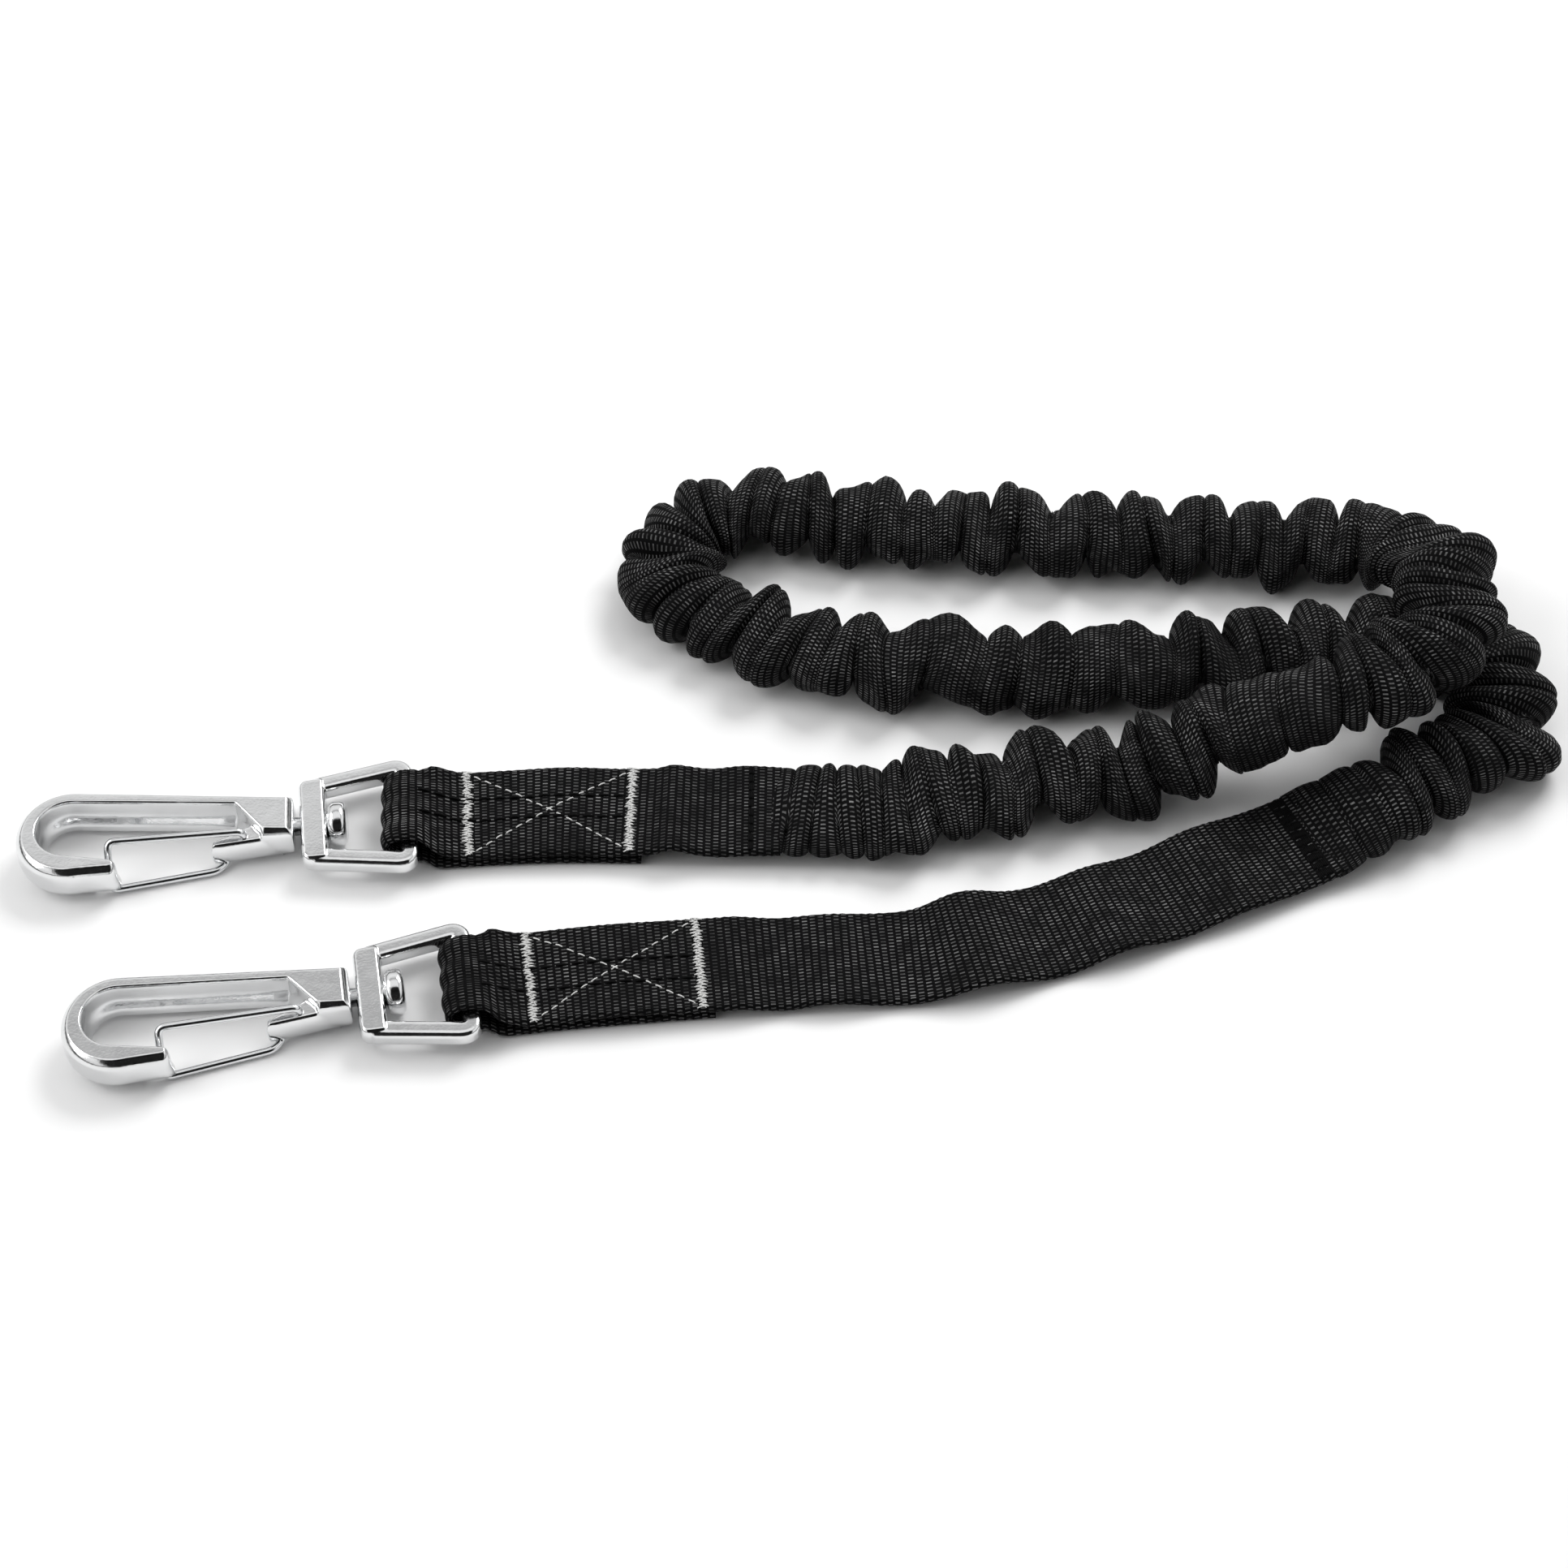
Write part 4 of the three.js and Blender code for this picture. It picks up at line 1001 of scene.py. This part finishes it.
def rounded(points, radius, steps=6):
    """A polyline with its inner corners rounded by the given radius."""
    points = [Vector(p) for p in points]
    out = [points[0]]
    for before, corner, after in zip(points, points[1:], points[2:]):
        reach = min(radius, (before - corner).length / 2, (after - corner).length / 2)
        enter = corner + (before - corner).normalized() * reach
        leave = corner + (after - corner).normalized() * reach
        for t in np.linspace(0, 1, steps):
            out.append(enter.lerp(corner, t).lerp(corner.lerp(leave, t), t))
    out.append(points[-1])
    return [tuple(p) for p in out]


def resampled(points, spacing):
    points = np.asarray(points, float)
    distance = np.r_[0, np.cumsum(np.linalg.norm(np.diff(points, axis=0), axis=1))]
    at = np.linspace(0, distance[-1], max(2, int(distance[-1] / spacing)))
    return np.stack([np.interp(at, distance, points[:, k]) for k in range(3)], axis=-1)


def swept(points, section):
    """A bar of constant section along points; the section is (sideways, upward) pairs."""
    points = np.asarray(points, float)
    tangent = unit(np.gradient(points, axis=0))
    normal = np.array((0, 0, 1.0)) if abs(tangent[0][2]) < 0.9 else np.array((1.0, 0, 0))
    rings = []
    for p, t in zip(points, tangent):
        normal = unit(normal - t * np.dot(normal, t))
        sideways = np.cross(t, normal)
        rings.append(p + section[:, :1] * sideways + section[:, 1:] * normal)
    return np.vstack(rings), tube_faces(len(points), len(section))


def circle(radius, sides=16):
    angle = np.arange(sides) / sides * 2 * math.pi
    return np.column_stack([radius * np.cos(angle), radius * np.sin(angle)])


def wire_gate(hook):
    corners = [
        (*GATE_PIVOT, WIRE_END_HEIGHT), (*GATE_PIVOT, WIRE_TOP), (GATE_END_X, GATE_END_TOP_Y, WIRE_TOP),
        (GATE_END_X, GATE_END_LOW_Y, WIRE_LOW), (*WIRE_KNEE, WIRE_LOW), (*GATE_HEEL, WIRE_LOW),
        (*GATE_HEEL, WIRE_END_HEIGHT),
    ]
    path = resampled(rounded(corners, 2.0, 10), 0.35)
    vertices, faces = swept(path, circle(WIRE_RADIUS))
    matrix = np.array(hook_matrix(hook))
    placed = vertices @ matrix[:3, :3].T + matrix[:3, 3]
    piece = new_object(f"gate_wire_{hook}", placed, faces, WIRE)
    fix_normals(piece)
    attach(piece, f"gate_{hook}")
    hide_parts(f"wire_gate_{hook}")


def swivel_rivet(hook):
    """Stem from inside the shank through the eye's base, and the rounded head behind it."""
    stem, head, back = 2.2, 8.1, 12.4  # stem's radius, and where the head starts and ends
    profile = [
        (0, -8), (stem, -8), (stem, head - 0.6), (3.8, head), (4.6, head + 0.15), (5.1, head + 0.7),
        (5.25, head + 1.4), (5.25, back - 1.5), (5.05, back - 0.8), (4.6, back - 0.3),
        (3.9, back - 0.05), (2.0, back), (0.6, back), (0, back),
    ]
    vertices, faces = lathe(profile, 64)
    matrix = np.array(hook_matrix(hook))
    placed = vertices @ matrix[:3, :3].T + matrix[:3, 3]
    piece = new_object(f"rivet_head_{hook}", placed, faces, CHROME)
    fix_normals(piece)
    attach(piece, f"hook_{hook}")
    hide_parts(f"swivel_rivet_{hook}")


def rounded_bar(half_width, half_height, corner):
    """Section of a bar with flat faces and rounded corners."""
    points = []
    for cx, cy, start in ((1, 1, 0), (-1, 1, 90), (-1, -1, 180), (1, -1, 270)):
        centre = (cx * (half_width - corner), cy * (half_height - corner))
        points += arc(centre, corner, start, start + 90, 5)
    return np.array(points)


def swivel_eye(hook):
    """Base with two spreading legs and the crossbar that the webbing goes round; its bore isn't cut."""
    start = 4.5  # the legs start inside the base
    eye_origin = Matrix.Translation((-EYE_BAR_X, 0, 0))
    corners = [(start, EYE_HALF_BASE), (EYE_BAR_X, EYE_HALF_BAR),
               (EYE_BAR_X, -EYE_HALF_BAR), (start, -EYE_HALF_BASE)]
    path = rounded([(x, y, PIN_HEIGHT) for x, y in corners], 3.0, 8)
    legs = swept(resampled(path, 0.6), rounded_bar(2.3, 2.3, 1.3))
    low, high, half = EYE_BASE
    front, back = 2.4, 1.0  # corner radii on the hook's side and on the webbing's
    base_outline = np.vstack([
        arc((low + front, -half + front), front, 180, 270, 8),
        arc((high - back, -half + back), back, 270, 360, 5),
        arc((high - back, half - back), back, 0, 90, 5),
        arc((low + front, half - front), front, 90, 180, 8),
    ])
    levels = PIN_HEIGHT + np.linspace(-EYE_BASE_HALF, EYE_BASE_HALF, 11)

    def swell(z, s):
        level = (z - PIN_HEIGHT) / EYE_BASE_HALF
        return np.full(len(s), EYE_BASE_SWELL * (math.sqrt(max(0.0, 1 - level**2)) - 1))

    base = prism(base_outline, np.zeros(len(base_outline)), levels, swell)
    casting = solid_from([legs, base])
    piece = fuse(casting, f"swivel_eye_casting_{hook}", eye_matrix(hook) @ eye_origin, CHROME)
    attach(piece, f"eye_{hook}")
    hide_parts(f"swivel_eye_{hook}")


for hook in (1, 2):
    snap_hook(hook)
    wire_gate(hook)
    swivel_rivet(hook)
    swivel_eye(hook)

# The elastic core is the CAD solid itself, with a finished material.
core = frame["nodes"]["elastic_core"]
core.data.materials.clear()
core.data.materials.append(ELASTIC)


# ---------------------------------------------------------------- studio
def make_floor():
    half = 4.0
    corners = [(-half, -half, 0), (half, -half, 0), (half, half, 0), (-half, half, 0)]
    floor = new_object("studio_floor", corners, [(0, 1, 2, 3)], floor_material(), shade_smooth=False)


def area_light(name, location, target, width, height, power):
    data = bpy.data.lights.new(name, "AREA")
    data.shape = "RECTANGLE"
    data.size = width
    data.size_y = height
    data.energy = power
    light = bpy.data.objects.new(name, data)
    light.location = location
    light.rotation_euler = (Vector(target) - Vector(location)).to_track_quat("-Z", "Y").to_euler()
    bpy.context.scene.collection.objects.link(light)


# The tent's grey by the upward part of the direction; the band at 0.765 to 0.85 is what the hooks' flat
# tops mirror to the camera.
SKY_GREYS = [
    (0.0, 0.9), (0.06, 0.9), (0.10, 0.04), (0.20, 0.04), (0.27, 0.8), (0.62, 1.0),
    (0.72, 0.90), (0.765, 0.80), (0.795, 0.50), (0.85, 0.50), (0.92, 1.0),
]
DARK_PATCH_DIRECTION = (0.15, -0.72, 0.68)
DARK_PATCH_GREYS = [(0.0, 1.0), (0.76, 1.0), (0.84, 0.015), (1.0, 0.015)]  # by closeness to that direction


def make_world():
    """A bright tent, dark behind the camera's side and in a thin band above the horizon."""
    world = bpy.data.worlds.new("studio")
    world.use_nodes = True
    nodes, links = world.node_tree.nodes, world.node_tree.links
    background = nodes["Background"]
    direction = nodes.new("ShaderNodeTexCoord")
    split = nodes.new("ShaderNodeSeparateXYZ")
    links.new(direction.outputs["Generated"], split.inputs[0])

    def grey_ramp(source, stops):
        return colour_ramp(world.node_tree, source, [(position, (grey,)) for position, grey in stops])

    height = grey_ramp(split.outputs["Z"], SKY_GREYS)
    towards = nodes.new("ShaderNodeVectorMath")
    towards.operation = "DOT_PRODUCT"
    links.new(direction.outputs["Generated"], towards.inputs[0])
    towards.inputs[1].default_value = unit(np.array(DARK_PATCH_DIRECTION))
    dark = grey_ramp(towards.outputs["Value"], DARK_PATCH_GREYS)
    both = nodes.new("ShaderNodeMix")
    both.data_type = "RGBA"
    both.blend_type = "MULTIPLY"
    both.inputs["Factor"].default_value = 1.0
    links.new(height, both.inputs["A"])
    links.new(dark, both.inputs["B"])
    links.new(both.outputs["Result"], background.inputs["Color"])
    background.inputs["Strength"].default_value = 1.0
    bpy.context.scene.world = world
    bpy.context.scene.view_settings.view_transform = "Standard"


make_floor()
make_world()
area_light("key", (0.60, 0.85, 1.05), (0, 0, 0), 0.8, 0.6, 12)
area_light("fill", (-1.1, 0.1, 1.1), (0, 0, 0), 0.7, 0.7, 5)
area_light("left", (-1.2, -0.3, 0.6), (0, 0, 0), 0.6, 0.5, 2.5)

bpy.context.view_layer.update()
